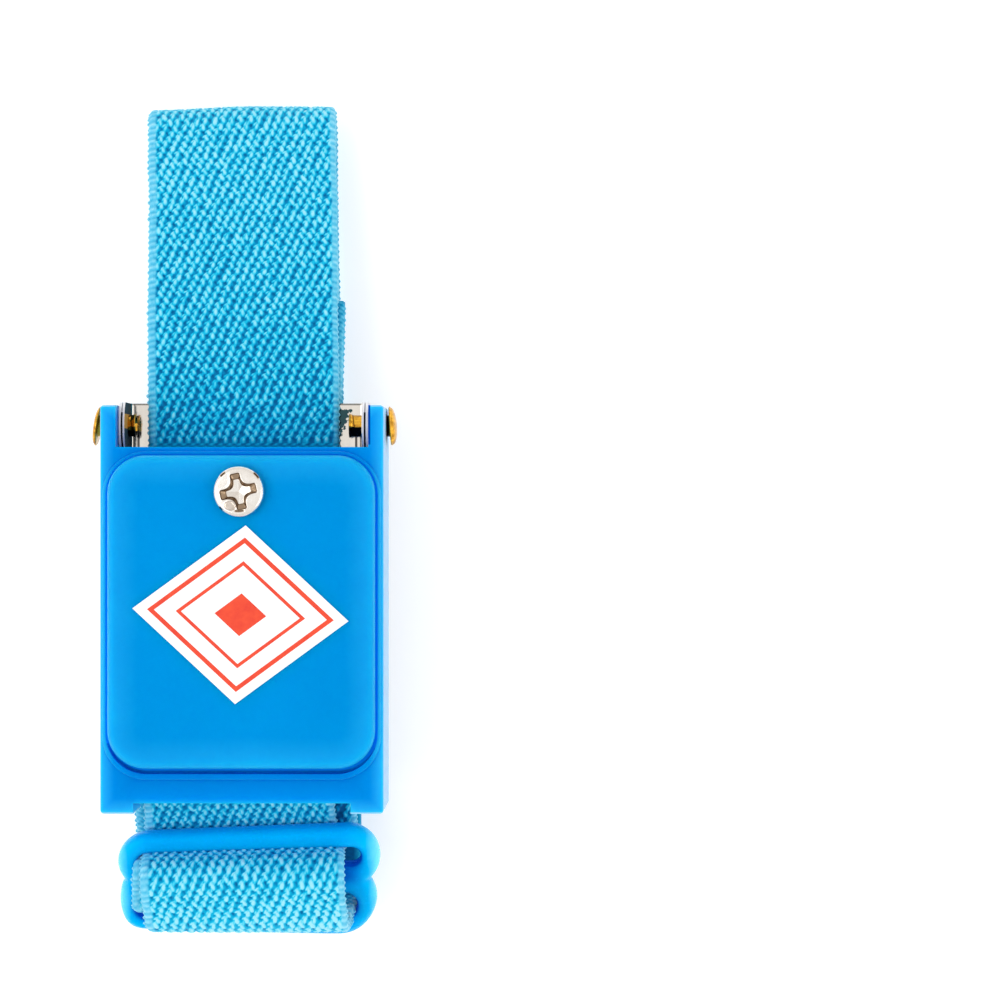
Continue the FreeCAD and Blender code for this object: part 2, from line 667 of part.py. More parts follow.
def lid_screw():
    head = Part.makeCylinder(SCREW_HEAD, SCREW_HEAD_HEIGHT, vec(0, -SCREW_LINE, lid_top))
    rim = [edge for edge in head.Edges if edge.BoundBox.ZMin > lid_top + SCREW_HEAD_HEIGHT - 1e-6]
    head = head.makeFillet(SCREW_HEAD_EDGE, rim)
    shank = Part.makeCylinder(SCREW_SHANK, SCREW_LENGTH, vec(0, -SCREW_LINE, lid_top - SCREW_LENGTH))
    screw = head.fuse(shank)
    recess_low = lid_top + SCREW_HEAD_HEIGHT - RECESS_DEPTH
    for turn in (RECESS_TURN, RECESS_TURN + 90.0):
        arm = block(-RECESS_REACH, RECESS_REACH, -RECESS_ARM / 2.0, RECESS_ARM / 2.0,
                    recess_low, AMPLE)
        arm.rotate(vec(0, 0, 0), vec(0, 0, 1), turn)
        arm.translate(vec(0, -SCREW_LINE, 0))
        screw = screw.cut(arm)
    return screw.removeSplitter()


def screw_nut():
    nut = hexagon(NUT_FLATS, nut_low(), NUT_THICK)
    return nut.cut(screw_bore(SCREW_SHANK, nut_low()))


def lug_low():
    return nut_low() + NUT_THICK


def lug_end():
    return -SCREW_LINE - LUG_RADIUS - LUG_TAIL


def solder_lug():
    ring = Part.makeCylinder(LUG_RADIUS, LUG_THICK, vec(0, -SCREW_LINE, lug_low()))
    tail = block(-LUG_TAIL_WIDTH / 2.0, LUG_TAIL_WIDTH / 2.0, lug_end(), -SCREW_LINE,
                 lug_low(), lug_low() + LUG_THICK)
    hole = screw_bore(SCREW_SHANK + LUG_PLAY, lug_low())
    eye = Part.makeCylinder(LEAD_RADIUS, LUG_THICK, vec(0, lug_end() + LUG_EYE, lug_low()))
    return ring.fuse(tail).cut([hole, eye]).removeSplitter()


def resistor_level():
    return cavity_floor + RESISTOR_RADIUS + RESISTOR_GAP


def series_resistor():
    """An axial resistor lying across the case: two bulged ends and a slim waist."""
    half = RESISTOR_LENGTH / 2.0
    level = resistor_level()
    ends = []
    for start in (-half, half - RESISTOR_CAP):
        foot = vec(start, resistor_y, level)
        end = Part.makeCylinder(RESISTOR_RADIUS, RESISTOR_CAP, foot, vec(1, 0, 0))
        rims = [edge for edge in end.Edges if edge.BoundBox.XLength < 1e-6]
        ends.append(end.makeFillet(RESISTOR_EDGE, rims))
    waist_start = -half + RESISTOR_EDGE
    waist = Part.makeCylinder(RESISTOR_WAIST, -2.0 * waist_start,
                              vec(waist_start, resistor_y, level), vec(1, 0, 0))
    return waist.fuse(ends).removeSplitter()


def wire_run(corners, radius):
    """A lead of round wire bent in a level or upright plane through the listed points."""
    edges = []
    here = corners[0]
    for index in range(1, len(corners) - 1):
        corner = corners[index]
        into = (corner - corners[index - 1]).normalize()
        out = (corners[index + 1] - corner).normalize()
        angle = into.getAngle(out)
        reach = radius * math.tan(angle / 2.0)
        start = corner - into * reach
        end = corner + out * reach
        inward = (out - into).normalize()
        middle = corner + inward * (radius / math.cos(angle / 2.0) - radius)
        edges.append(Part.makeLine(here, start))
        edges.append(Part.Arc(start, middle, end).toShape())
        here = end
    edges.append(Part.makeLine(here, corners[-1]))
    path = Part.Wire(edges)
    first = corners[1] - corners[0]
    circle = Part.Wire(Part.makeCircle(LEAD_RADIUS, corners[0], first))
    return path.makePipeShell([circle], True, False)


def lug_lead():
    """From the resistor's left end back and up into the eye of the solder lug."""
    level = resistor_level()
    eye_y = lug_end() + LUG_EYE
    start = vec(-RESISTOR_LENGTH / 2.0, resistor_y, level)
    side = vec(-lead_x, resistor_y, level)
    back = vec(-lead_x, eye_y, level)
    under = vec(0, eye_y, level)
    top = vec(0, eye_y, lug_low() + LUG_THICK + LEAD_STUB)
    return wire_run([start, side, back, under, top], LEAD_BEND)


def leaf_lead():
    """From the resistor's right end down to the tail of the contact leaf."""
    level = resistor_level()
    leaf_top = cavity_floor + LEAF_THICK + LEAD_RADIUS
    start = vec(RESISTOR_LENGTH / 2.0, resistor_y, level)
    side = vec(lead_x, resistor_y, level)
    drop = vec(lead_x, resistor_y - LEAD_DROP, leaf_top)
    end = vec(lead_x, leaf_y, leaf_top)
    return wire_run([start, side, drop, end], LEAD_BEND)


def contact_leaf():
    """A sprung strip on the cavity floor whose leg reaches down to the skin plate."""
    low_y = leaf_y - LEAF_WIDTH / 2.0
    foot_z = plate_top + LEAF_GAP
    flat_z = cavity_floor
    bend = LEAF_BEND
    outer_x = leaf_x + LEAF_THICK / 2.0
    inner_x = leaf_x - LEAF_THICK / 2.0
    tail_x = lead_x - LEAF_TAIL
    flat_top = flat_z + LEAF_THICK
    root_half = math.sqrt(0.5)
    small = bend - LEAF_THICK
    centre = vec(outer_x - bend, low_y, flat_top - bend)
    outline = [
        Part.makeLine(vec(tail_x, low_y, flat_z), vec(tail_x, low_y, flat_top)),
        Part.makeLine(vec(tail_x, low_y, flat_top), vec(outer_x - bend, low_y, flat_top)),
        Part.Arc(vec(outer_x - bend, low_y, flat_top),
                 centre + vec(bend * root_half, 0, bend * root_half),
                 vec(outer_x, low_y, flat_top - bend)).toShape(),
        Part.makeLine(vec(outer_x, low_y, flat_top - bend), vec(outer_x, low_y, foot_z)),
        Part.makeLine(vec(outer_x, low_y, foot_z), vec(inner_x, low_y, foot_z)),
        Part.makeLine(vec(inner_x, low_y, foot_z), vec(inner_x, low_y, flat_top - bend)),
        Part.Arc(vec(inner_x, low_y, flat_top - bend),
                 centre + vec(small * root_half, 0, small * root_half),
                 vec(outer_x - bend, low_y, flat_z)).toShape(),
        Part.makeLine(vec(outer_x - bend, low_y, flat_z), vec(tail_x, low_y, flat_z)),
    ]
    return Part.Face(Part.Wire(outline)).extrude(vec(0, LEAF_WIDTH, 0))


def label():
    points = [vec(LABEL_HALF_X, 0, 0), vec(0, LABEL_HALF_Y, 0), vec(-LABEL_HALF_X, 0, 0),
              vec(0, -LABEL_HALF_Y, 0)]
    face = Part.Face(Part.makePolygon(points + [points[0]]))
    sticker = face.extrude(vec(0, 0, LABEL_THICK))
    sticker.rotate(vec(0, 0, 0), vec(0, 0, 1), LABEL_TURN)
    sticker.translate(vec(0, label_y, lid_top))
    return sticker


def strap_slider():
    """Two joined rounded frames with a shared middle bar."""
    half_thick = SLIDER_THICK / 2.0
    lobe_centre = slider_end - SLIDER_LOBE
    flat = 0.001
    frame = None
    for side in (-1, 1):
        centre = side * lobe_centre
        lobe = rounded_block(slider_half, centre - SLIDER_LOBE, centre + SLIDER_LOBE,
                             -half_thick, half_thick, SLIDER_LOBE - flat)
        frame = lobe if frame is None else frame.fuse(lobe)
    frame = frame.removeSplitter()
    waist = []
    for edge in frame.Edges:
        box = edge.BoundBox
        if box.ZLength > half_thick and box.YLength < 1e-6 and abs(box.YMin) < 1e-3:
            waist.append(edge)
    frame = frame.makeFillet(SLIDER_WAIST, waist)
    for side in (-1, 1):
        low = min(side * window_in, side * window_out)
        window = rounded_block(window_half, low, low + SLIDER_WINDOW,
                               -half_thick, half_thick, SLIDER_WINDOW_CORNER)
        frame = frame.cut(window)
    flat_edges = [edge for edge in frame.Edges if edge.BoundBox.ZLength < 1e-6]
    frame = frame.makeFillet(SLIDER_EDGE, flat_edges)
    frame.rotate(vec(0, 0, 0), vec(1, 0, 0), SLIDER_TILT)
    frame.translate(vec(0, slider_y, slider_z))
    return frame


def model():
    bend_end = slider_bend_points()[-1][0]
    back_cut = strap_cuts()[1][0]
    return {
        "contact_plate": contact_plate(),
        "strap_clip": strap_clip(),
        "rivet_left": rivet(-1, RIVET_LEAN, RIVET_SLACK),
        "rivet_right": rivet(1, 0.0, 0.0),
        "band_front_run": front_run(),
        "band_fixed_end": fixed_end(),
        "band_top_fold": top_fold(),
        "band_back_run_fold_side": back_run(back_split, back_cut),
        "band_back_run_slider_side": back_run(bend_end, back_split),
        "band_slider_bend": slider_bend(),
        "band_sewn_loop": sewn_loop(),
        "band_loop_upper_run": loop_upper_run(),
        "band_loop_lower_run": loop_lower_run(),
        "band_clip_turn": clip_turn(),
        "strap_slider": strap_slider(),
        "case_shell": case_shell(),
        "case_lid": case_lid(),
        "lid_screw": lid_screw(),
        "screw_nut": screw_nut(),
        "solder_lug": solder_lug(),
        "series_resistor": series_resistor(),
        "resistor_lead_lug_side": lug_lead(),
        "resistor_lead_leaf_side": leaf_lead(),
        "contact_leaf": contact_leaf(),
        "label": label(),
    }


CASE_PIECES = ["case_shell", "case_lid", "lid_screw", "screw_nut", "solder_lug", "series_resistor",
               "resistor_lead_lug_side", "resistor_lead_leaf_side", "contact_leaf", "label"]

pieces = model()
for name in CASE_PIECES:
    pieces[name].translate(vec(CASE_SHIFT, 0, 0))
whole = Part.makeCompound(list(pieces.values())).optimalBoundingBox(False)
shift = vec(-(whole.XMin + whole.XMax) / 2.0, -(whole.YMin + whole.YMax) / 2.0, -whole.ZMin)
os.makedirs("parts", exist_ok=True)
for name, shape in pieces.items():
    shape.translate(shift)
    shape.exportStep("parts/" + name + ".step")
print("moved by", shift)
print("size", whole.XLength, whole.YLength, whole.ZLength)
print("rivet line", shift.y, rivet_level + shift.z)
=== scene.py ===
import math

import bmesh
import bpy
import numpy as np
from mathutils import Matrix, Vector


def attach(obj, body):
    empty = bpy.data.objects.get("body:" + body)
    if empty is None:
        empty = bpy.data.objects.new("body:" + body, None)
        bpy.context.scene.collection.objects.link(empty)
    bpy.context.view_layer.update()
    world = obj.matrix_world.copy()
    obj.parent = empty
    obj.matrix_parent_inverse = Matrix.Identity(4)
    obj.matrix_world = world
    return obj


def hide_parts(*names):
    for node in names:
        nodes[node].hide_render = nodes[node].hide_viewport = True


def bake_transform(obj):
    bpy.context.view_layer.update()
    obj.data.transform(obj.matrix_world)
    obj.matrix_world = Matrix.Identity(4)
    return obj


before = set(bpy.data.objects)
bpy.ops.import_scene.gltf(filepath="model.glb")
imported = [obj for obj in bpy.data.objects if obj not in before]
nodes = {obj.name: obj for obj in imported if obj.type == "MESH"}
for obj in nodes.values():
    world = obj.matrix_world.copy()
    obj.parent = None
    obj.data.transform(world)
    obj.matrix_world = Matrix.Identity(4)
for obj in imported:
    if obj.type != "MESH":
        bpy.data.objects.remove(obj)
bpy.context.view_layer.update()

# The strap lies flat: x goes across, y along to the far fold, z up from the table.
# Sizes and places are in millimetres until they go into a mesh, where MM makes them metres.

MM = 0.001
MIDDLE = 0.152           # the strap's middle across; the footprint's middle is 0
CASE_MIDDLE = 0.282      # the case lies a little to the right on its rivets
RIVET_Y = 9.647
RIVET_Z = 11.9


# ---------------------------------------------------------------- shared by all shapes

def noise(a, b, salt):
    """Repeatable numbers between 0 and 1, one for each pair of places."""
    value = np.sin(a * 12.9898 + b * 78.233 + salt * 37.719) * 43758.5453
    return value - np.floor(value)


def smooth(x, low, high):
    """Rises softly from 0 at low to 1 at high."""
    t = np.clip((x - low) / (high - low), 0.0, 1.0)
    return t * t * (3 - 2 * t)


def fade(x, low, high):
    """Falls softly from 1 at low to 0 at high."""
    return 1 - smooth(x, low, high)


def places_of(mesh):
    places = np.empty(len(mesh.vertices) * 3)
    mesh.vertices.foreach_get("co", places)
    return places.reshape(-1, 3)


def place_all(mesh, places):
    mesh.vertices.foreach_set("co", places.reshape(-1))


def value_on(mesh, key, values):
    """Keeps a number for each point of the mesh, which its material reads by this name."""
    attribute = mesh.attributes.new(key, "FLOAT", "POINT")
    attribute.data.foreach_set("value", values.astype(np.float32))


def vector_on(mesh, key, vectors):
    attribute = mesh.attributes.new(key, "FLOAT_VECTOR", "POINT")
    attribute.data.foreach_set("vector", vectors.reshape(-1).astype(np.float32))


def in_scene(name, data):
    made = bpy.data.objects.new(name, data)
    bpy.context.scene.collection.objects.link(made)
    return made


def mesh_from(bm, name):
    mesh = bpy.data.meshes.new(name)
    bm.to_mesh(mesh)
    bm.free()
    return mesh


def finished(mesh, mend=None):
    """Turns the faces outwards and makes them smooth, after any mend, and shows the piece."""
    bm = bmesh.new()
    bm.from_mesh(mesh)
    if mend:
        mend(bm)
    bmesh.ops.recalc_face_normals(bm, faces=bm.faces)
    for face in bm.faces:
        face.smooth = True
    bm.to_mesh(mesh)
    bm.free()
    return in_scene(mesh.name, mesh)


def spun(name, profile, steps, move):
    """A profile of (height, radius) turned once round the z axis.

    move(x, y, z) puts every point in its place, and gives how dark it is with dirt and painted
    shade, or None.
    """
    bm = bmesh.new()
    spots = [bm.verts.new((radius, 0.0, height)) for height, radius in profile]
    edges = [bm.edges.new(pair) for pair in zip(spots, spots[1:])]
    bmesh.ops.spin(bm, geom=spots + edges, cent=(0, 0, 0), axis=(0, 0, 1), angle=2 * math.pi,
                   steps=steps, use_merge=True)
    bmesh.ops.remove_doubles(bm, verts=bm.verts, dist=1e-4)
    mesh = mesh_from(bm, name)
    points, grime_and_shade = move(*places_of(mesh).T)
    place_all(mesh, points * MM)
    if grime_and_shade is not None:
        value_on(mesh, "grime_and_shade", grime_and_shade)
    return finished(mesh)


# ---------------------------------------------------------------- the band's way
# One strip of webbing in four lengths. Each route has (y, z) corners of the band's middle line
# and the radius of the bend at each inner corner.

FRONT_ROUTE = [(22.87, 7.67), (14.82, 9.32), (6.51, 9.32), (6.51, 11.0), (13.35, 11.0),
               (43.5, 4.83), (43.5, 0.65), (40.2, 0.65)]
FRONT_BENDS = [4.0, 0.84, 0.84, 6.0, 2.3, 2.3]
BACK_ROUTE = [(40.2, 0.65), (15.0, 0.65), (-10.23, 0.65)]
BACK_BENDS = [2.0]
PASSING_ROUTE = [(-10.23, 0.65), (-38.6, 0.65), (-42.05, 8.0), (-44.1, 10.1),
                 (-36.54, 13.01), (-34.13, 7.62), (-26.54, 11.0), (4.89, 11.0),
                 (4.89, 9.32), (2.25, 9.32)]
PASSING_BENDS = [2.5, 3.0, 1.7, 2.1, 1.2, 3.5, 0.84, 0.84]
SEWN_ROUTE = [(-28.23, 7.3), (-38.3, 3.0), (-41.2, 8.7), (-36.3, 10.7), (-34.4, 5.83),
              (-27.0, 9.32), (2.25, 9.32)]
SEWN_BENDS = [1.0, 1.0, 1.0, 1.0, 2.0]

SLIDER_SKEW = math.radians(2.3)      # the slider sits a little crooked
FOLD_LAG = 0.35                      # the far fold's left corner lags behind by this much


def straight(start, heading):
    return lambda s: (start + heading * s, heading)


def bend(start, heading, turn, radius):
    left = np.array([-heading[1], heading[0]]) * (1.0 if turn > 0 else -1.0)

    def at(s):
        a = s / radius
        place = start + heading * radius * math.sin(a) + left * radius * (1 - math.cos(a))
        return place, heading * math.cos(a) + left * math.sin(a)

    return at


def trace(corners, bends):
    """Straight runs and round bends: the length of each, and what gives place and heading."""
    points = [np.array(corner, float) for corner in corners]
    runs = []
    here = points[0]
    for before, corner, after, radius in zip(points, points[1:], points[2:], bends):
        heading = (corner - before) / np.linalg.norm(corner - before)
        out = (after - corner) / np.linalg.norm(after - corner)
        turn = math.atan2(heading[0] * out[1] - heading[1] * out[0], float(heading @ out))
        reach = radius * math.tan(abs(turn) / 2)
        start = corner - heading * reach
        runs.append((np.linalg.norm(start - here), straight(here, heading)))
        runs.append((abs(turn) * radius, bend(start, heading, turn, radius)))
        here = corner + out * reach
    last = points[-1] - here
    runs.append((np.linalg.norm(last), straight(here, last / np.linalg.norm(last))))
    return runs


def length_of(runs):
    return sum(length for length, _ in runs)


def on_route(runs, s):
    """Place and heading at this distance along the route."""
    for length, at in runs[:-1]:
        if s <= length:
            return at(s)
        s -= length
    return runs[-1][1](s)


def askew(y):
    """Slope across, at this y, of all that follows the slider."""
    share = np.clip((y + 43.9) / 11.9, 0.0, 1.0) * fade(y, -31.0, -23.0)
    return share * math.tan(SLIDER_SKEW)


def leaning(x, y):
    """How far along y the band strays at this place: at the slider and at the far fold."""
    return x * askew(y) - FOLD_LAG * smooth(y, 38.0, 44.0) * smooth(-x, 0.0, 9.9)


def eased(stops):
    """A value along a route that goes softly from each (distance, value) stop to the next."""
    def value(s):
        for (s0, v0), (s1, v1) in zip(stops, stops[1:]):
            if s <= s1:
                return v0 + (v1 - v0) * smooth(s, s0, s1)
        return stops[-1][1]
    return value


# ---------------------------------------------------------------- webbing

BAND_HALF = 9.95         # half width
BAND_CORE = 0.46         # half thickness without the knobs
INNER_LIMIT = 0.6        # half thickness of the inner face at most
CROWN = 0.06             # the outer face is higher in its middle
EDGE_ROUND = 0.55        # rounding of the edges
EDGE_THIN = 0.25         # share of the thickness that is left at the very edge

KNOB_HEIGHT = 0.26
KNOB_ACROSS = 0.96       # from knob to knob
KNOB_ALONG = 0.64        # from row to row
KNOB_SHIFT = 0.32        # each row is shifted sideways against the last
GROUND_TONE = 0.35

PLAIN_RELIEF = 0.45      # where no knobs are modelled
PLAIN_TONE = 0.5
PLAIN_STEP = 0.62        # from row to row of points there
UNDER_COLUMNS = 14       # of points across the inner face

RIM_LEFT = 0.66          # width of the looped edges
RIM_RIGHT = 0.40
RIM_FADE = 0.3


def knobs(u, v):
    """Height of the woven knobs, 0 to 1, and a tone for each, at places across and along.

    A flake of yarn with a thinner one beside it lies on the ground, and others run slantwise
    from knob to knob.
    """
    height = np.zeros_like(u)
    tone = np.full_like(u, GROUND_TONE)

    def yarn(across, along, lean, wide, long, top, shade, taper=0.0):
        nonlocal height, tone
        a = across * np.cos(lean) + along * np.sin(lean)
        b = -across * np.sin(lean) + along * np.cos(lean)
        narrow = 1.0 - taper * np.clip(b / long, -1.0, 1.0)
        round_top = np.clip(1.0 - (a / (wide * narrow)) ** 2 - (b / long) ** 2, 0.0, 1.0) ** 0.55
        h = top * round_top
        tone = np.where(h > height, shade, tone)
        height = np.maximum(h, height)

    nearest_row = np.floor(v / KNOB_ALONG)
    for row in (nearest_row + step for step in (-1, 0, 1, 2)):
        nearest_knob = np.floor((u - KNOB_SHIFT * row) / KNOB_ACROSS)
        for knob in (nearest_knob + step for step in (-1, 0, 1, 2)):
            r1, r2, r3, r4, r5 = (noise(row, knob, salt) for salt in (1, 2, 3, 4, 5))
            x = u - (KNOB_SHIFT * row + KNOB_ACROSS * knob) - 0.20 * (r1 - 0.5)
            y = v - KNOB_ALONG * row - 0.18 * (r2 - 0.5)
            next_x, next_y = x - KNOB_SHIFT / 2, y - KNOB_ALONG / 2
            yarn(x, y, lean=0.10 + 1.1 * (r3 - 0.5), wide=0.20 + 0.08 * r4,
                 long=0.42 + 0.14 * r5, top=0.86 + 0.14 * r4, shade=0.5 + 0.5 * r1, taper=0.32)
            yarn(x + 0.16, y - 0.24, lean=-0.75 + 0.7 * (r5 - 0.5), wide=0.14, long=0.38,
                 top=0.74 + 0.2 * r2, shade=0.45 + 0.4 * r3, taper=0.32)
            yarn(next_x, next_y, lean=-0.46 + 0.3 * (r4 - 0.5), wide=0.21, long=0.48,
                 top=0.64 + 0.12 * r5, shade=0.42)
            yarn(x, y, lean=0.80, wide=0.34, long=0.80, top=0.45, shade=0.40)
            yarn(next_x + 0.1, next_y, lean=-0.2, wide=0.40, long=0.60, top=0.34, shade=0.40)
    return height, tone


def woven(u, v, plain):
    """Height, tone and share of the looped edge, at places across and along the webbing."""
    height, tone = knobs(u, v)
    height, tone = np.where(plain, PLAIN_RELIEF, height), np.where(plain, PLAIN_TONE, tone)
    rim = np.where(u > 0, RIM_RIGHT, RIM_LEFT)
    edge = smooth(np.abs(u), BAND_HALF - rim - RIM_FADE, BAND_HALF - rim)
    wobble = noise(np.floor(v / KNOB_ALONG), np.sign(u), 11)
    loops = 0.5 + 0.5 * np.cos(2 * np.pi * v / KNOB_ALONG + 1.5 * np.abs(u) + wobble)
    height = height * (1 - edge) + edge * (0.32 + (0.34 + 0.3 * wobble) * loops)
    return height, tone, edge


def half_thickness(u, height, outer):
    close = BAND_HALF - np.abs(u)
    round_off = np.sqrt(np.clip(1 - (1 - np.clip(close / EDGE_ROUND, 0, 1)) ** 2, 0, 1))
    crown = CROWN * (1 - (u / BAND_HALF) ** 2)
    thick = BAND_CORE + KNOB_HEIGHT * height + crown * (outer > 0)
    thick = thick * (EDGE_THIN + (1 - EDGE_THIN) * round_off)
    return np.where(outer > 0, thick, np.minimum(thick, INNER_LIMIT))


def stations(runs, fine):
    """Distances along the route: close together inside the fine stretches."""
    total = length_of(runs)
    s, out = 0.0, [0.0]
    while s < total - 1e-6:
        step = PLAIN_STEP
        for low, high, small in fine:
            if low <= s < high:
                step = small
        s = min(total, s + step)
        out.append(s)
    return np.array(out)


def band_strip(name, runs, start, shift, fine, columns, wide=None, shade=None):
    """A length of webbing: a knobbly outer face, a plainer inner face and round edges.

    It starts this far along the whole band, which places its weave. Outside the fine
    stretches, each with its own step, the outer face is as plain as the inner one.
    shift(s) moves it sideways, wide(s) stretches it across, and shade(s, u) paints light and shade
    on it: above 0 paler, below 0 darker.
    """
    along = stations(runs, fine)
    u_outer = np.linspace(-BAND_HALF, BAND_HALF, columns)
    u_under = BAND_HALF * np.sin(np.linspace(math.pi / 2, -math.pi / 2, UNDER_COLUMNS + 2)[1:-1])
    outer = np.concatenate([np.ones(columns), -np.ones(UNDER_COLUMNS)])
    u, v = np.meshgrid(np.concatenate([u_outer, u_under]), along + start)
    close_up = np.zeros(len(along), bool)
    for low, high, _ in fine:
        close_up |= (along >= low) & (along <= high)
    plain = (outer[None, :] < 0) | ~close_up[:, None]
    height, tone, edge = woven(u, v, plain)
    # shade adds painted light and shade to the yarn's tone
    tone = tone + (shade(v - start, u) if shade else 0.0)
    lift = half_thickness(u, height, outer) * outer[None, :]
    spots = [on_route(runs, s) for s in along]
    place = np.array([spot for spot, _ in spots])
    heading = np.array([way for _, way in spots])
    sideways = np.array([shift(s) for s in along])
    stretch = np.array([wide(s) if wide else 1.0 for s in along])
    x = u * stretch[:, None] + sideways[:, None] + MIDDLE
    y = place[:, 0, None] - heading[:, 1, None] * lift
    z = np.maximum(place[:, 1, None] + heading[:, 0, None] * lift, 0.0)
    y = y + leaning(x - MIDDLE, y)
    weave = np.stack([u, v, np.where(plain, -1.0, 1.0)], 2) * MM
    return woven_tube(name, np.stack([x, y, z], 2) * MM,
                      {"relief": height, "tone": tone, "edge": edge}, weave)


def woven_tube(name, places, values, weave):
    """A grid laid out as a flattened tube, welded along one side and closed at both ends."""
    rows, columns = places.shape[:2]
    bm = bmesh.new()
    bmesh.ops.create_grid(bm, x_segments=columns, y_segments=rows - 1, size=1.0)
    mesh = mesh_from(bm, name)
    flat = places_of(mesh)
    column = np.rint((flat[:, 0] + 1) / 2 * columns).astype(int) % columns
    row = np.rint((flat[:, 1] + 1) / 2 * (rows - 1)).astype(int)
    place_all(mesh, places[row, column])
    for key, value in values.items():
        value_on(mesh, key, value[row, column])
    vector_on(mesh, "weave", weave[row, column])

    def close(bm):
        bmesh.ops.remove_doubles(bm, verts=bm.verts, dist=1e-8)
        bmesh.ops.holes_fill(bm, edges=[edge for edge in bm.edges if edge.is_boundary], sides=0)

    return finished(mesh, close)


# ---------------------------------------------------------------- loops along the edges

UNIT_YARN = 0.1              # radius of the yarn of the loop that all are made from
LOOP_BACK = 0.55             # a loop starts this far inside the edge
LOOP_OUT = (0.02, 0.12)      # how far it stands out: the least, and the rest by chance
LOOP_HALF = (0.21, 0.05)     # half its length along the band
LOOP_YARN = (0.10, 0.03)     # radius of its yarn
NEAT_RIGHT = 0.4             # the right edge's loops stand out less


def yarn_loop():
    """Half a ring of yarn with a radius of 1, in the xy plane."""
    bm = bmesh.new()
    upright = Matrix.Rotation(math.pi / 2, 4, "X") @ Matrix.Rotation(math.pi / 2, 4, "Y")
    ring = bmesh.ops.create_circle(bm, segments=6, radius=UNIT_YARN,
                                   matrix=Matrix.Translation((0, -1, 0)) @ upright)["verts"]
    bmesh.ops.spin(bm, geom=ring + list(bm.edges), cent=(0, 0, 0), axis=(0, 0, 1),
                   angle=math.pi, steps=6)
    bmesh.ops.recalc_face_normals(bm, faces=bm.faces)
    return mesh_from(bm, "yarn_loop")


def selvedge(name, runs, start, shift, stretches, wide=None):
    """Short plump loops of yarn that stand a little out of both edges of the webbing."""
    template = yarn_loop()
    unit = np.array([vertex.co for vertex in template.vertices])
    radius = np.hypot(unit[:, 0], unit[:, 1])
    outward, ahead = unit[:, 0] / radius, unit[:, 1] / radius
    plump, up = (radius - 1) / UNIT_YARN, unit[:, 2] / UNIT_YARN
    places, tones = [], []
    bm = bmesh.new()
    for low, high in stretches:
        first = math.ceil((low + start) / KNOB_ALONG)
        last = math.floor((high + start) / KNOB_ALONG)
        for row, side in ((row, side) for row in range(first, last + 1) for side in (-1, 1)):
            s = row * KNOB_ALONG - start
            r1, r2, r3 = (float(noise(np.float64(row), np.float64(side), salt))
                          for salt in (5, 6, 7))
            reach = (LOOP_OUT[0] + LOOP_OUT[1] * r1 * r1) * (1.0 if side < 0 else NEAT_RIGHT)
            half = LOOP_HALF[0] + LOOP_HALF[1] * r2
            yarn = LOOP_YARN[0] + LOOP_YARN[1] * r3
            place, heading = on_route(runs, s + 0.16 * (r3 - 0.5))
            out = BAND_HALF - LOOP_BACK + (reach + LOOP_BACK + yarn * plump) * outward
            step = (half + yarn * plump) * ahead
            rise = 0.34 - 0.26 * outward + 0.12 * (r2 - 0.5) + yarn * up
            x = side * out * (wide(s) if wide else 1.0) + shift(s)
            y = place[0] + heading[0] * step - heading[1] * rise
            z = place[1] + heading[1] * step + heading[0] * rise
            places.append(np.stack([x + MIDDLE, y + leaning(x, y), np.maximum(z, 0.0)], 1) * MM)
            # Paler on top of each loop, painted light, and towards its outer tip; the colour ramp
            # reads this as relief.
            tones.append(0.30 + 0.42 * outward + 0.15 * up)
            bm.from_mesh(template)
    bpy.data.meshes.remove(template)
    mesh = mesh_from(bm, name)
    places, tones = np.concatenate(places), np.concatenate(tones)
    place_all(mesh, places)
    value_on(mesh, "relief", tones)
    value_on(mesh, "tone", np.full_like(tones, PLAIN_TONE))
    value_on(mesh, "edge", np.ones_like(tones))
    vector_on(mesh, "weave", places)
    return finished(mesh)


# ---------------------------------------------------------------- the lid screw

SCREW_Y = 2.797
SCREW_HIGH = 20.6
SCREW_UNDER = 19.4       # underside of the head
SCREW_LOW = 13.4
SCREW_RADIUS = 2.58
HEAD_SAG = 0.06          # the top falls by this much to the side
HEAD_EDGE = 0.42         # rounding of the head's edge
HEAD_RINGS = 67          # of points from the middle of the head to its side
THREAD_CORE = 1.22
THREAD_RISE = 0.23
THREAD_PITCH = 0.5
THREAD_RINGS = 96

RECESS_TURN = math.radians(12.5)
RECESS_MOUTH = (1.86, 0.50, 1.0)     # length and half width of its arms, and inner rounding
RECESS_FLOOR = (1.30, 0.34, 0.9)
RECESS_ARM_CORNER = 0.18
SMEAR = (-0.88, -1.40)   # middle of a drop of solder on the head
SMEAR_HALF = (0.62, 0.50)
# each dent in the head has an angle and a spread in degrees, a radius and a depth
DENTS = [(132, 9, 2.36, 1.0), (42, 11, 2.44, 1.0), (224, 6, 2.50, 0.9), (273, 17, 1.98, 0.85)]
DENT_HALF = 0.11


def cross(a, b, length, half, soft):
    """Distance inside a cross with arms this long and half this wide, soft inside its corners."""
    def arm(p, q):
        dx = np.abs(p) - (length - RECESS_ARM_CORNER)
        dy = np.abs(q) - (half - RECESS_ARM_CORNER)
        outside = np.hypot(np.maximum(dx, 0.0), np.maximum(dy, 0.0))
        return outside + np.minimum(np.maximum(dx, dy), 0.0) - RECESS_ARM_CORNER

    one, two = arm(a, b), arm(b, a)
    blend = np.clip(0.5 + 0.5 * (two - one) / soft, 0.0, 1.0)
    return -(two * (1 - blend) + one * blend - soft * blend * (1 - blend))


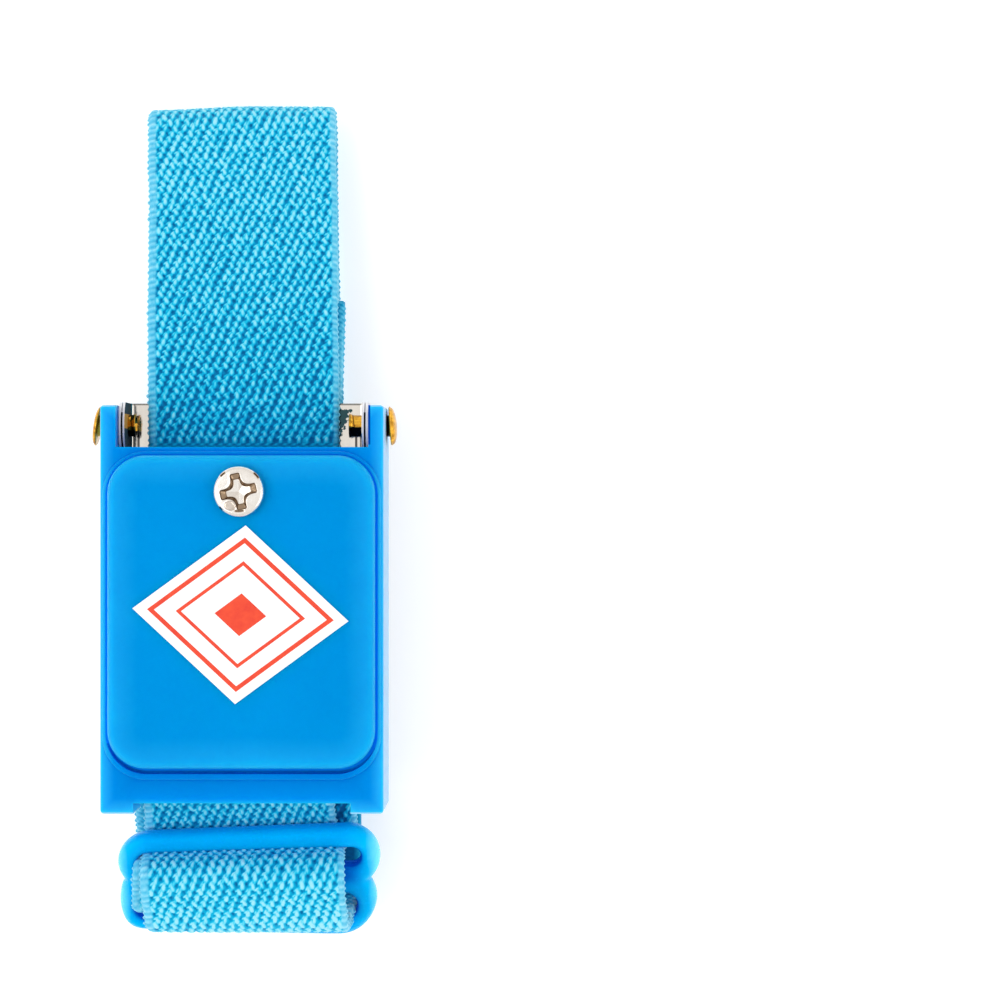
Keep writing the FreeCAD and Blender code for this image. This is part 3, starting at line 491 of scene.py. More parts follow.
def screw_top(x, y):
    """Height above the flat of the head, and darkness from dirt and painted shade, at points of the
    head.
    """
    r = np.hypot(x, y)
    angle = np.degrees(np.arctan2(y, x)) % 360
    height = -HEAD_SAG * (r / SCREW_RADIUS) ** 2
    edge = np.clip((r - (SCREW_RADIUS - HEAD_EDGE)) / HEAD_EDGE, 0.0, 1.0)
    height -= HEAD_EDGE * (1 - np.sqrt(1 - np.minimum(edge, 0.9999) ** 2))

    a = x * math.cos(RECESS_TURN) + y * math.sin(RECESS_TURN)
    b = -x * math.sin(RECESS_TURN) + y * math.cos(RECESS_TURN)
    inside, deep = cross(a, b, *RECESS_MOUTH), cross(a, b, *RECESS_FLOOR)
    burr = 0.03 * np.exp(-((inside + 0.07) / 0.07) ** 2)
    down = np.clip(inside / np.maximum(inside - deep, 1e-3), 0.0, 1.0) * (inside > 0)
    point = 1 - np.clip(np.maximum(np.abs(a), np.abs(b)) / 1.2, 0.0, 1.0)
    height += burr
    height -= 0.12 * smooth(inside, 0.0, 0.06) + 0.30 * down
    height -= 0.16 * point * smooth(deep, 0.0, 0.06)
    grime_and_shade = 0.62 * smooth(inside, -0.01, 0.04) * fade(deep, -0.02, 0.03)
    for line in (inside - 0.03, deep):
        grime_and_shade = np.maximum(grime_and_shade, np.exp(-(line / 0.05) ** 2) * (inside > -0.2))
    # Two opposite facets of the recess floor are darker: painted shade.
    facet = 0.5 + 0.5 * np.sign(np.sin(2 * np.arctan2(b, a) + 0.4))
    grime_and_shade = np.maximum(grime_and_shade, 0.18 * facet * smooth(deep, 0.03, 0.07))

    across, along = x - SMEAR[0], y - SMEAR[1]
    drop = np.hypot(across / SMEAR_HALF[0], along / SMEAR_HALF[1])
    height += 0.09 * fade(drop, 0.75, 1.0)
    grime_and_shade = np.maximum(grime_and_shade, 0.30 * fade(drop, 0.9, 1.0))
    # A painted shadow rims the drop on one side.
    shadow_side = smooth(np.cos(np.arctan2(along, across) + 0.8), 0.3, 0.9)
    grime_and_shade = np.maximum(grime_and_shade, 0.7 * np.exp(-((drop - 1.04) / 0.06) ** 2) * shadow_side)

    for centre, spread, radius, depth in DENTS:
        turn = np.abs((angle - centre + 180) % 360 - 180)
        mark = np.exp(-((r - radius) / DENT_HALF) ** 4) * fade(turn, spread * 0.6, spread)
        height -= 0.10 * mark * depth
        grime_and_shade = np.maximum(grime_and_shade, mark * depth)
    return height, grime_and_shade


def lid_screw_detail():
    """A pan head with a cross recess, on a threaded shank that ends in a blunt tip."""
    side = SCREW_RADIUS + 0.02
    profile = [(SCREW_HIGH, radius) for radius in np.linspace(0.0, SCREW_RADIUS, HEAD_RINGS)]
    profile += [(SCREW_HIGH - 0.62, side), (SCREW_UNDER + 0.12, side),
                (SCREW_UNDER, SCREW_RADIUS - 0.08), (SCREW_UNDER, 1.5)]
    profile += [(level, THREAD_CORE)
                for level in np.linspace(SCREW_UNDER, SCREW_LOW + 0.5, THREAD_RINGS)]
    profile += [(SCREW_LOW, 0.9), (SCREW_LOW, 0.0)]

    def move(x, y, z):
        rise, grime_and_shade = screw_top(x, y)
        head = z > SCREW_HIGH - 0.01
        thread = (np.abs(np.hypot(x, y) - THREAD_CORE) < 0.01) & (z < SCREW_UNDER + 0.01)
        phase = (z / THREAD_PITCH - np.arctan2(y, x) / (2 * np.pi)) % 1.0
        crest = THREAD_CORE + THREAD_RISE * (1 - np.abs(2 * phase - 1))
        swell = np.where(thread, crest / THREAD_CORE, 1.0)
        grime_and_shade = np.where(head, grime_and_shade, np.where(z > SCREW_UNDER - 0.01, 0.1, 0.25))
        z = np.where(head, z + rise, z)
        return np.stack([x * swell + CASE_MIDDLE - 0.12, y * swell + SCREW_Y, z], 1), grime_and_shade

    return spun("lid_screw_detail", profile, 192, move)


# ---------------------------------------------------------------- the slider
# Its outlines have (across, up along the slider) points, from the middle of the middle bar.

SLIDER_Y = -37.95
SLIDER_Z = 8.0
SLIDER_TILT = math.radians(24.0)
SLIDER_THICK = 2.2
SLIDER_ROUND = 0.95      # rounding of the bars
SLIDER_GRAIN = 0.13      # spacing of the points that the bars are smoothed at
SLIDER_LOBES = [((10.3, 2.5), 3.6, -48.0, 90.0), ((-10.1, 2.5), 3.6, 90.0, 216.0)]
SLIDER_SIDE = [(-13.4, -0.1), (-13.65, -1.3), (-13.75, -2.6), (-13.6, -3.9), (-13.2, -5.1),
               (-12.3, -5.9), (-10.8, -6.15), (9.0, -6.75), (10.6, -6.55), (12.0, -5.7),
               (12.95, -4.4), (13.45, -3.0), (13.5, -1.9), (13.2, -0.9), (12.85, -0.2)]
SLIDER_WINDOWS = [(-11.5, 11.8, 1.60, 3.6, 0.95), (-12.1, 11.3, -4.6, -1.7, 1.4)]


def arc_points(centre, radius, start, end, steps):
    """Points on a round corner between two angles in degrees."""
    angles = [math.radians(start + (end - start) * i / steps) for i in range(steps + 1)]
    return [(centre[0] + radius * math.cos(a), centre[1] + radius * math.sin(a))
            for a in angles]


def slider_outline():
    """Two big round lobes above, and below them a lower half with cut corners, going round."""
    points = [spot for lobe in SLIDER_LOBES for spot in arc_points(*lobe, 24)] + SLIDER_SIDE
    for _ in range(2):
        points = [(a + (c - a) * share, b + (d - b) * share)
                  for (a, b), (c, d) in zip(points, points[1:] + points[:1])
                  for share in (0.25, 0.75)]
    return points


def window_outline(low_x, high_x, low_u, high_u, corner):
    left, right, under, over = low_x + corner, high_x - corner, low_u + corner, high_u - corner
    corners = [((right, over), 0), ((left, over), 90), ((left, under), 180), ((right, under), 270)]
    return [spot for centre, start in corners
            for spot in arc_points(centre, corner, start, start + 90, 12)]


def applied(holder):
    """The shape of an object with its modifiers, which is then taken out of the scene."""
    shape = holder.evaluated_get(bpy.context.evaluated_depsgraph_get())
    mesh = bpy.data.meshes.new_from_object(shape)
    bpy.data.objects.remove(holder)
    return mesh


def slider_blank():
    """The slider as a flat plate with round bars, on the origin."""
    curve = bpy.data.curves.new("strap_slider_outline", "CURVE")
    curve.dimensions = "2D"
    curve.fill_mode = "BOTH"
    curve.extrude = SLIDER_THICK / 2 - SLIDER_ROUND
    curve.bevel_depth = SLIDER_ROUND
    curve.bevel_resolution = 6
    curve.offset = -SLIDER_ROUND
    for outline in [slider_outline()] + [window_outline(*window) for window in SLIDER_WINDOWS]:
        spline = curve.splines.new("POLY")
        spline.points.add(len(outline) - 1)
        for point, (x, u) in zip(spline.points, outline):
            point.co = (x, u, 0.0, 1.0)
        spline.use_cyclic_u = True
    rough = in_scene("strap_slider_rough", applied(in_scene("strap_slider_outline", curve)))
    weld = rough.modifiers.new("weld", "WELD")
    weld.merge_threshold = 0.002
    voxels = rough.modifiers.new("voxels", "REMESH")
    voxels.mode = "VOXEL"
    voxels.voxel_size = SLIDER_GRAIN
    soften = rough.modifiers.new("soften", "SMOOTH")
    soften.factor = 0.5
    soften.iterations = 8
    return applied(rough)


def strap_slider_detail():
    """The slider with round bars and a shallow waist, with painted shade inside its windows and on
    its middle bar's right end.
    """
    mesh = slider_blank()
    x, u, w = places_of(mesh).T
    y = SLIDER_Y + u * math.cos(SLIDER_TILT) - w * math.sin(SLIDER_TILT)
    y += x * askew(y)
    z = SLIDER_Z + u * math.sin(SLIDER_TILT) + w * math.cos(SLIDER_TILT)
    place_all(mesh, np.stack([x + MIDDLE, y, z], 1) * MM)
    mesh.polygons.foreach_set("use_smooth", [True] * len(mesh.polygons))
    mesh.materials.clear()
    near = np.full_like(x, 9.0)
    for low_x, high_x, low_u, high_u, corner in SLIDER_WINDOWS:
        across = np.abs(x - (low_x + high_x) / 2) - ((high_x - low_x) / 2 - corner)
        along = np.abs(u - (low_u + high_u) / 2) - ((high_u - low_u) / 2 - corner)
        away = np.hypot(np.maximum(across, 0.0), np.maximum(along, 0.0)) - corner
        near = np.minimum(near, away + np.minimum(np.maximum(across, along), 0.0))
    # Painted shade on the window walls and the middle bar's right end, read as the deep colour.
    deep = fade(near, 0.15, 0.65) * fade(w, 0.55, 1.0)
    bar = smooth(x, 8.5, 9.5) * fade(x, 10.3, 12.4) * fade(np.abs(u - 1.0), 0.4, 1.7)
    value_on(mesh, "grime_and_shade", np.maximum(deep, 0.8 * bar))
    return in_scene("strap_slider_detail", mesh)


# ---------------------------------------------------------------- the rivets
# Their profiles go in from the head, as (place across from the strap's middle, radius).

RIVET_SIDES = 64
SHANK = 1.1              # radius
HEAD_BODY = 1.95         # radius of the head inside its rolled rim
HEAD_ROLL = 0.1
ROLL = 0.12              # radius of the rolled open end
ROLL_RADIUS = 1.14
BORE_END = 12.75


def rivet_detail(name, side, head_x, dome, tube_end, lean):
    """A tubular rivet: a shallow domed head outside, a shank, and a rolled open end inside."""
    profile = [(head_x + 0.2 + (dome - 0.2) * math.cos(a), HEAD_BODY * math.sin(a))
               for a in (0.5 * math.pi * i / 12 for i in range(13))]
    profile += [(head_x + HEAD_ROLL + HEAD_ROLL * math.cos(a), HEAD_BODY + HEAD_ROLL * math.sin(a))
                for a in (math.pi * i / 8 for i in range(1, 8))]
    profile += [(head_x, 1.5), (head_x - 0.02, SHANK + 0.02), (head_x - 0.3, SHANK),
                (12.6, SHANK), (12.2, SHANK)]
    profile += [(tube_end + 0.55 - 0.43 * i / 5, SHANK + 0.15 * (i / 5) ** 2) for i in range(6)]
    profile += [(tube_end + ROLL + ROLL * math.cos(a), ROLL_RADIUS + ROLL * math.sin(a))
                for a in (math.pi * (0.5 + i / 8) for i in range(9))]
    profile += [(tube_end + 0.3, 0.93), (tube_end + 0.7, 0.8), (BORE_END - 0.05, 0.75),
                (BORE_END, 0.0)]

    def move(x, y, along):
        angle = np.arctan2(y, x)
        rolled = along < tube_end + 0.6
        swell = 1 + rolled * 0.035 * np.sin(5 * angle + 1.0) + 0.006 * np.sin(3 * angle)
        forth, up = x * swell, y * swell
        out = along + smooth(along, head_x - 0.3, head_x) * lean * forth
        return np.stack([side * out + MIDDLE, RIVET_Y + forth, RIVET_Z + up], 1), None

    return spun(name, profile, RIVET_SIDES, move)


# ---------------------------------------------------------------- parts of a material

def material(name):
    made = bpy.data.materials.new(name)
    made.use_nodes = True
    return made, made.node_tree, made.node_tree.nodes["Principled BSDF"]


def put(tree, kind, **values):
    node = tree.nodes.new(kind)
    for key, value in values.items():
        setattr(node, key, value)
    return node


def fixed(shader, **values):
    """Sets what is the same all over the surface."""
    for label, value in values.items():
        socket = shader.inputs[label.replace("_", " ")]
        socket.default_value = (*value, 1) if socket.type == "RGBA" else value


def ramp(tree, source, stops):
    node = put(tree, "ShaderNodeValToRGB")
    for element, (position, colour) in zip(node.color_ramp.elements, (stops[0], stops[-1])):
        element.position = position
        element.color = (*colour, 1)
    for position, colour in stops[1:-1]:
        node.color_ramp.elements.new(position).color = (*colour, 1)
    tree.links.new(source, node.inputs["Fac"])
    return node.outputs["Color"]


def maths(tree, operation, a, b=None, c=None, clamp=False):
    node = put(tree, "ShaderNodeMath", operation=operation, use_clamp=clamp)
    for socket, value in zip(node.inputs, (a, b, c)):
        if isinstance(value, (int, float)):
            socket.default_value = value
        elif value is not None:
            tree.links.new(value, socket)
    return node.outputs[0]


def below(tree, value, limit):
    return maths(tree, "LESS_THAN", value, limit)


def above(tree, value, limit):
    return maths(tree, "GREATER_THAN", value, limit)


def within(tree, value, low, high):
    """1 where the value lies between low and high."""
    return maths(tree, "COMPARE", value, (low + high) / 2, (high - low) / 2)


def both(tree, *masks):
    result = masks[0]
    for mask in masks[1:]:
        result = maths(tree, "MULTIPLY", result, mask)
    return result


def either(tree, *masks):
    result = masks[0]
    for mask in masks[1:]:
        result = maths(tree, "MAXIMUM", result, mask)
    return result


def swing(tree, value, amount):
    """The value's swing to both sides of a half, made this large."""
    return maths(tree, "MULTIPLY", maths(tree, "SUBTRACT", value, 0.5), amount)


def mix(tree, factor, a, b, blend="MIX"):
    node = put(tree, "ShaderNodeMix", data_type="RGBA", blend_type=blend)
    for socket, value in ((node.inputs[0], factor), (node.inputs[6], a), (node.inputs[7], b)):
        if isinstance(value, (int, float)):
            socket.default_value = value
        elif isinstance(value, tuple):
            socket.default_value = (*value, 1)
        else:
            tree.links.new(value, socket)
    return node.outputs[2]


def bump(tree, height, strength, distance, shader):
    node = put(tree, "ShaderNodeBump")
    fixed(node, Strength=strength, Distance=distance)
    tree.links.new(height, node.inputs["Height"])
    tree.links.new(node.outputs["Normal"], shader.inputs["Normal"])


def value_of(tree, key):
    """A number that the mesh keeps for each of its points."""
    return put(tree, "ShaderNodeAttribute", attribute_name=key).outputs["Fac"]


def on_object(tree):
    return put(tree, "ShaderNodeTexCoord").outputs["Object"]


def parts_of(tree, vector):
    split = put(tree, "ShaderNodeSeparateXYZ")
    tree.links.new(vector, split.inputs["Vector"])
    return [split.outputs[axis] for axis in "XYZ"]


def axes(tree):
    """Place in mm: across from the strap's middle, along and up."""
    return [maths(tree, "MULTIPLY_ADD", part, 1000.0, start)
            for part, start in zip(parts_of(tree, on_object(tree)), (-MIDDLE, 0.0, 0.0))]


# ---------------------------------------------------------------- effects that materials share

def group(name, inputs, outputs):
    """An empty node group, with the sockets inside it by name."""
    made = bpy.data.node_groups.new(name, "ShaderNodeTree")
    for labels, way in ((inputs, "INPUT"), (outputs, "OUTPUT")):
        for label, kind in labels.items():
            made.interface.new_socket(label, in_out=way, socket_type="NodeSocket" + kind)
    return made, put(made, "NodeGroupInput").outputs, put(made, "NodeGroupOutput").inputs


def placed(tree, effect, **values):
    """A node group in a material, with its own values. Without a Vector it follows the object."""
    node = put(tree, "ShaderNodeGroup", node_tree=effect)
    if "Vector" not in values:
        values["Vector"] = on_object(tree)
    for label, value in values.items():
        if isinstance(value, (int, float, tuple)):
            node.inputs[label].default_value = value
        else:
            tree.links.new(value, node.inputs[label])
    return node.outputs


def grain_group():
    """Cloudy noise of one size."""
    made, given, out = group("grain", {"Vector": "Vector", "Scale": "Float", "Detail": "Float",
                                       "Roughness": "Float"}, {"Amount": "Float"})
    node = put(made, "ShaderNodeTexNoise")
    for label in ("Vector", "Scale", "Detail", "Roughness"):
        made.links.new(given[label], node.inputs[label])
    made.links.new(node.outputs["Fac"], out["Amount"])
    return made


GRAIN = grain_group()


def grain(tree, scale, detail=4.0, roughness=0.55, **vector):
    return placed(tree, GRAIN, Scale=scale, Detail=detail, Roughness=roughness,
                  **vector)["Amount"]


def outline_group():
    """Distance in mm outside a rectangle with round corners, in x and y."""
    made, given, out = group("outline_distance", {"Vector": "Vector", "Middle": "Vector",
                                                  "Half": "Vector", "Corner": "Float"},
                             {"Distance": "Float"})
    place, middle, half = (parts_of(made, given[label]) for label in ("Vector", "Middle", "Half"))
    sides = []
    for axis in (0, 1):
        in_mm = maths(made, "MULTIPLY", place[axis], 1000.0)
        from_middle = maths(made, "SUBTRACT", in_mm, middle[axis])
        reach = maths(made, "SUBTRACT", half[axis], given["Corner"])
        sides.append(maths(made, "SUBTRACT", maths(made, "ABSOLUTE", from_middle), reach))
    squares = [maths(made, "POWER", maths(made, "MAXIMUM", side, 0.0), 2.0) for side in sides]
    outside = maths(made, "SQRT", maths(made, "ADD", *squares))
    inside = maths(made, "MINIMUM", maths(made, "MAXIMUM", *sides), 0.0)
    away = maths(made, "SUBTRACT", maths(made, "ADD", outside, inside), given["Corner"])
    made.links.new(away, out["Distance"])
    return made


OUTLINE = outline_group()


def outline_distance(tree, middle, half, corner):
    return placed(tree, OUTLINE, Middle=(*middle, 0.0), Half=(*half, 0.0),
                  Corner=corner)["Distance"]


def moulded_group():
    """The clouds, fine grain and uneven tone of moulded plastic."""
    made, given, out = group("moulded_surface", {"Vector": "Vector", "Clouds": "Float",
                                                 "Specks": "Float"},
                             {"Cloud": "Float", "Grain": "Float", "Shade": "Color"})
    cloud = grain(made, given["Clouds"], 5.0, 0.6, Vector=given["Vector"])
    speck = grain(made, given["Specks"], 3.0, 0.65, Vector=given["Vector"])
    tone = maths(made, "ADD", maths(made, "MULTIPLY", cloud, 0.7),
                 maths(made, "MULTIPLY", speck, 0.3))
    shade = ramp(made, tone, [(0.34, (0.90, 0.90, 0.93)), (0.66, (1.0, 1.0, 1.0))])
    for label, value in (("Cloud", cloud), ("Grain", speck), ("Shade", shade)):
        made.links.new(value, out[label])
    return made


MOULDED = moulded_group()


def metal_group():
    """Streaks, drawn out along an axis where it is brushed, and fine pits."""
    made, given, out = group("metal_surface", {"Vector": "Vector", "Streaks": "Float",
                                               "Specks": "Float", "Brushed": "Vector"},
                             {"Lines": "Float", "Pits": "Float"})
    stretch = put(made, "ShaderNodeMapping")
    made.links.new(given["Vector"], stretch.inputs["Vector"])
    made.links.new(given["Brushed"], stretch.inputs["Scale"])
    lines = grain(made, given["Streaks"], 5.0, 0.7, Vector=stretch.outputs["Vector"])
    pits = grain(made, given["Specks"], 4.0, 0.7, Vector=given["Vector"])
    made.links.new(lines, out["Lines"])
    made.links.new(pits, out["Pits"])
    return made


METAL = metal_group()


# ---------------------------------------------------------------- webbing

def webbing():
    """Blue elastic: dark between the knobs and pale on top of them, in part painted shade and
    highlight, with slanting fibres.
    """
    made, tree, shader = material("elastic_webbing")
    relief, tone, edge = (value_of(tree, key) for key in ("relief", "tone", "edge"))
    weave = put(tree, "ShaderNodeAttribute", attribute_name="weave").outputs["Vector"]
    lean = put(tree, "ShaderNodeMapping")
    fixed(lean, Rotation=(0, 0, math.radians(-18)), Scale=(1.0, 0.32, 1.0))
    tree.links.new(weave, lean.inputs["Vector"])
    fibre = grain(tree, 6200.0, 4.0, 0.65, Vector=lean.outputs["Vector"])
    patch = grain(tree, 210.0, 4.0, 0.6, Vector=weave)

    across, along, knobbly = parts_of(tree, weave)
    rows = maths(tree, "MULTIPLY", along, 2 * math.pi / (KNOB_ALONG * MM))
    slant = maths(tree, "MULTIPLY", rows, KNOB_SHIFT / KNOB_ACROSS)
    slant = maths(tree, "MULTIPLY_ADD", across, -2 * math.pi / (KNOB_ACROSS * MM), slant)
    knit = maths(tree, "MULTIPLY", maths(tree, "SINE", rows), maths(tree, "SINE", slant))
    knit = maths(tree, "MULTIPLY", knit, below(tree, knobbly, 0.0))

    # The level sets the colour: yarn tone, painted shade between the knobs, painted highlight on
    # their tops, and the painted light and shade carried in tone.
    level = maths(tree, "MULTIPLY_ADD", knit, 0.26, relief)
    for value, amount in ((tone, 0.30), (fibre, 0.36), (patch, 0.18)):
        level = maths(tree, "ADD", level, swing(tree, value, amount))
    body = ramp(tree, level, [(0.0, (0.0, 0.10, 0.27)), (0.24, (0.0, 0.21, 0.45)),
                              (0.40, (0.0, 0.36, 0.62)), (0.60, (0.01, 0.50, 0.74)),
                              (0.76, (0.12, 0.63, 0.80)), (1.0, (0.33, 0.73, 0.86))])
    rim = ramp(tree, level, [(0.0, (0.0, 0.28, 0.52)), (0.35, (0.08, 0.48, 0.71)),
                             (0.75, (0.18, 0.59, 0.79)), (1.0, (0.32, 0.70, 0.85))])
    tree.links.new(mix(tree, edge, body, rim), shader.inputs["Base Color"])
    fixed(shader, Roughness=0.62, Specular_IOR_Level=0.4, Specular_Tint=(0.1, 0.7, 1.0),
          Sheen_Weight=0.05, Sheen_Roughness=0.5, Sheen_Tint=(0.7, 0.93, 1.0))
    bump(tree, maths(tree, "MULTIPLY_ADD", knit, 0.6, fibre), 0.5, 0.00008, shader)
    return made


# ---------------------------------------------------------------- moulded plastic
# Outlines have (middle), (half width, half length) and corner radius, seen from above.

CASE_OUTLINE = ((CASE_MIDDLE, -9.225), (14.6, 20.875), 0.4)
LID_OUTLINE = ((CASE_MIDDLE, -9.45), (13.63, 15.95), 3.9)
SLIDER_OUTLINE = ((MIDDLE, SLIDER_Y), (13.8, 30.0), 0.1)
RAMP_DEPTH = 10.0        # mm inside an outline where its colour ramp ends
GAP_RIM = (-0.3, 0.35)   # the gap round the lid, as distances outside the lid's outline
LID_RIM = 18.15          # height up to which the gap glows
LEFT_EAR = (-13.0, -12.5)            # inner faces of the ears, across
RIGHT_EAR = (12.6, 13.24)
LEFT_EAR_TOP = 16.6
EARS_START = 7.6         # along


def plastic(name, middle, halfway, edge, depths, outline, roughness, clouds, specks, scatter,
            wall=None, deep=None):
    """Moulded plastic: its edge, halfway and middle colours, the last two at these depths.

    A wall colour goes on what lies outside the deck, and a deep one where the mesh marks painted
    shade; the lighter edge and wall colours are painted light.
    """
    made, tree, shader = material(name)
    surface = placed(tree, MOULDED, Clouds=clouds, Specks=specks)
    cloud, speck = surface["Cloud"], surface["Grain"]
    away = outline_distance(tree, *outline)
    # The colour grows lighter towards the outline: painted light at the edges.
    stops = [(0.0, edge), (depths[0] / RAMP_DEPTH, halfway), (depths[1] / RAMP_DEPTH, middle)]
    if wall:
        stops = [(0.0, wall), (0.010, wall), (0.022, edge)] + stops[1:]
    else:
        away = maths(tree, "MULTIPLY_ADD", maths(tree, "SUBTRACT", cloud, 0.5), 1.6, away)
    depth = maths(tree, "DIVIDE", maths(tree, "MULTIPLY", away, -1.0), RAMP_DEPTH)
    body = ramp(tree, depth, stops)
    # The deep colour is painted shade where the mesh marks it.
    if deep:
        body = mix(tree, value_of(tree, "grime_and_shade"), body, deep)
    body = mix(tree, 1.0, body, surface["Shade"], "MULTIPLY")
    tree.links.new(body, shader.inputs["Base Color"])
    rough = maths(tree, "MULTIPLY_ADD", speck, 0.14, roughness - 0.07)
    tree.links.new(rough, shader.inputs["Roughness"])
    fixed(shader, Specular_IOR_Level=0.5, Specular_Tint=(0.0, 0.45, 1.0),
          Subsurface_Weight=scatter, Subsurface_Radius=(0.15, 0.7, 1.0),
          Subsurface_Scale=0.003)
    bump(tree, speck, 0.12, 0.00005, shader)
    return made


def opened(made):
    """The tree and shader of a finished material, and what feeds its colour."""
    shader = made.node_tree.nodes["Principled BSDF"]
    return made.node_tree, shader, shader.inputs["Base Color"].links[0].from_socket


def paint_gap_glow(made):
    """A painted glow in the narrow gap round the lid, for light that comes through the plastic."""
    tree, shader, _ = opened(made)
    gap = within(tree, outline_distance(tree, *LID_OUTLINE), *GAP_RIM)
    glow = both(tree, gap, below(tree, axes(tree)[2], LID_RIM))
    tree.links.new(mix(tree, glow, (0.0, 0.0, 0.0), (0.0, 0.20, 0.80)),
                   shader.inputs["Emission Color"])
    fixed(shader, Emission_Strength=0.3)


def paint_ear_shadows(made):
    """Painted shadow: the inner faces of the ears are dark beside the flanges."""
    tree, shader, body = opened(made)
    across, along, up = axes(tree)
    left = both(tree, within(tree, across, *LEFT_EAR), below(tree, up, LEFT_EAR_TOP))
    right = within(tree, across, *RIGHT_EAR)
    ears = both(tree, either(tree, left, right), above(tree, along, EARS_START))
    tree.links.new(mix(tree, ears, body, (0.0, 0.03, 0.26)), shader.inputs["Base Color"])


# The lighter edge colours and the case's pale wall colour are painted light; the slider's deep
# colour is painted shade.
CASE_BLUE = plastic("case_plastic", middle=(0.0, 0.195, 0.62), halfway=(0.0, 0.26, 0.70),
                    edge=(0.02, 0.42, 0.77), wall=(0.32, 0.56, 0.80), depths=(1.6, 4.0),
                    outline=CASE_OUTLINE, roughness=0.40, clouds=90.0, specks=2600.0,
                    scatter=0.75)
LID_BLUE = plastic("case_lid_plastic", middle=(0.0, 0.285, 0.68), halfway=(0.006, 0.335, 0.72),
                   edge=(0.006, 0.385, 0.75), depths=(1.3, 3.2), outline=LID_OUTLINE,
                   roughness=0.40, clouds=90.0, specks=2600.0, scatter=0.75)
SLIDER_BLUE = plastic("slider_plastic", middle=(0.0, 0.41, 0.90), halfway=(0.0, 0.49, 0.92),
                      edge=(0.20, 0.76, 0.96), deep=(0.0, 0.10, 0.60), depths=(1.3, 3.6),
                      outline=SLIDER_OUTLINE, roughness=0.26, clouds=110.0, specks=2200.0,
                      scatter=0.6)
paint_gap_glow(CASE_BLUE)
paint_gap_glow(LID_BLUE)
paint_ear_shadows(CASE_BLUE)


# ---------------------------------------------------------------- metal
# Places on the clasp: sideways is across from the strap's middle to either side.

FLANGE_INSIDE = (-12.24, -12.06)     # inner face of the left flange, with a painted dark reflection, across
FLANGE_SLIT = (12.42, 12.62)         # painted shade in the slit between the two flanges, sideways
# FLANGE_RIMS: painted highlights on the flanges' top edges, sideways
FLANGE_RIMS = (12.25, 13.0)
FLANGE_FOOT = 10.5                   # up
RIMS_FOOT = 11.0                     # up
SLIT_END = 11.0                      # along
BRASS_PATCH_SPAN = (9.35, 10.85)           # a brass-coloured patch on the flange beside the tube, along
CLIP_FLOOR = (10.2, 10.4)            # up
FLOOR_SHADE = (11.28, 12.0)          # painted shadow on the floor under the rivet, sideways
FLOOR_SHADE_END = 8.7                # along
BRIGHT_LINE = 11.66                  # an unshaded line in that painted shadow, sideways
BRIGHT_HALF = 0.13
FRONT_EDGE = 11.86                   # painted shade along the floor's front edge from here, along
WEDGE_SIDE, WEDGE_END = 10.75, 11.45 # painted reflection of the band, a dark wedge on the floor at the right, across and along
WEDGE_CORNER, WEDGE_SLOPE = 11.0, 0.42

RIVET_NECK = (12.9, 14.93)           # painted shadow between case and head, sideways
TUBE_START = 12.9
TUBE_BACK = -0.48                    # its painted dark back ends here, along from the rivet line
TUBE_BACK_STEP = 0.28                # and this much further along on the right rivet
GROOVES = [(11.27, 11.40), (-11.82, -11.66)]
GROOVE_SLANT = 0.16


def metal(name, colour, worn, roughness, streaks, specks, brushed=(1.0, 1.0, 1.0), dirt_and_shade_colours=None):
    """Metal with streaks and pits, and colours from light to dark where the mesh is marked with
    dirt and painted shade.
    """
    made, tree, shader = material(name)
    surface = placed(tree, METAL, Streaks=streaks, Specks=specks, Brushed=brushed)
    lines, pits = surface["Lines"], surface["Pits"]
    body = ramp(tree, lines, [(0.3, worn), (0.7, colour)])
    if dirt_and_shade_colours:
        grime_and_shade = value_of(tree, "grime_and_shade")
        darkening = ramp(tree, grime_and_shade, [(0.6, dirt_and_shade_colours[0]), (1.0, dirt_and_shade_colours[1])])
        body = mix(tree, maths(tree, "MULTIPLY", grime_and_shade, 1.6, clamp=True), body, darkening)
    tree.links.new(body, shader.inputs["Base Color"])
    rough = maths(tree, "MULTIPLY_ADD", pits, 0.22, roughness - 0.11)
    tree.links.new(rough, shader.inputs["Roughness"])
    fixed(shader, Metallic=1.0)
    bump(tree, maths(tree, "ADD", lines, pits), 0.10, 0.00004, shader)
    return made


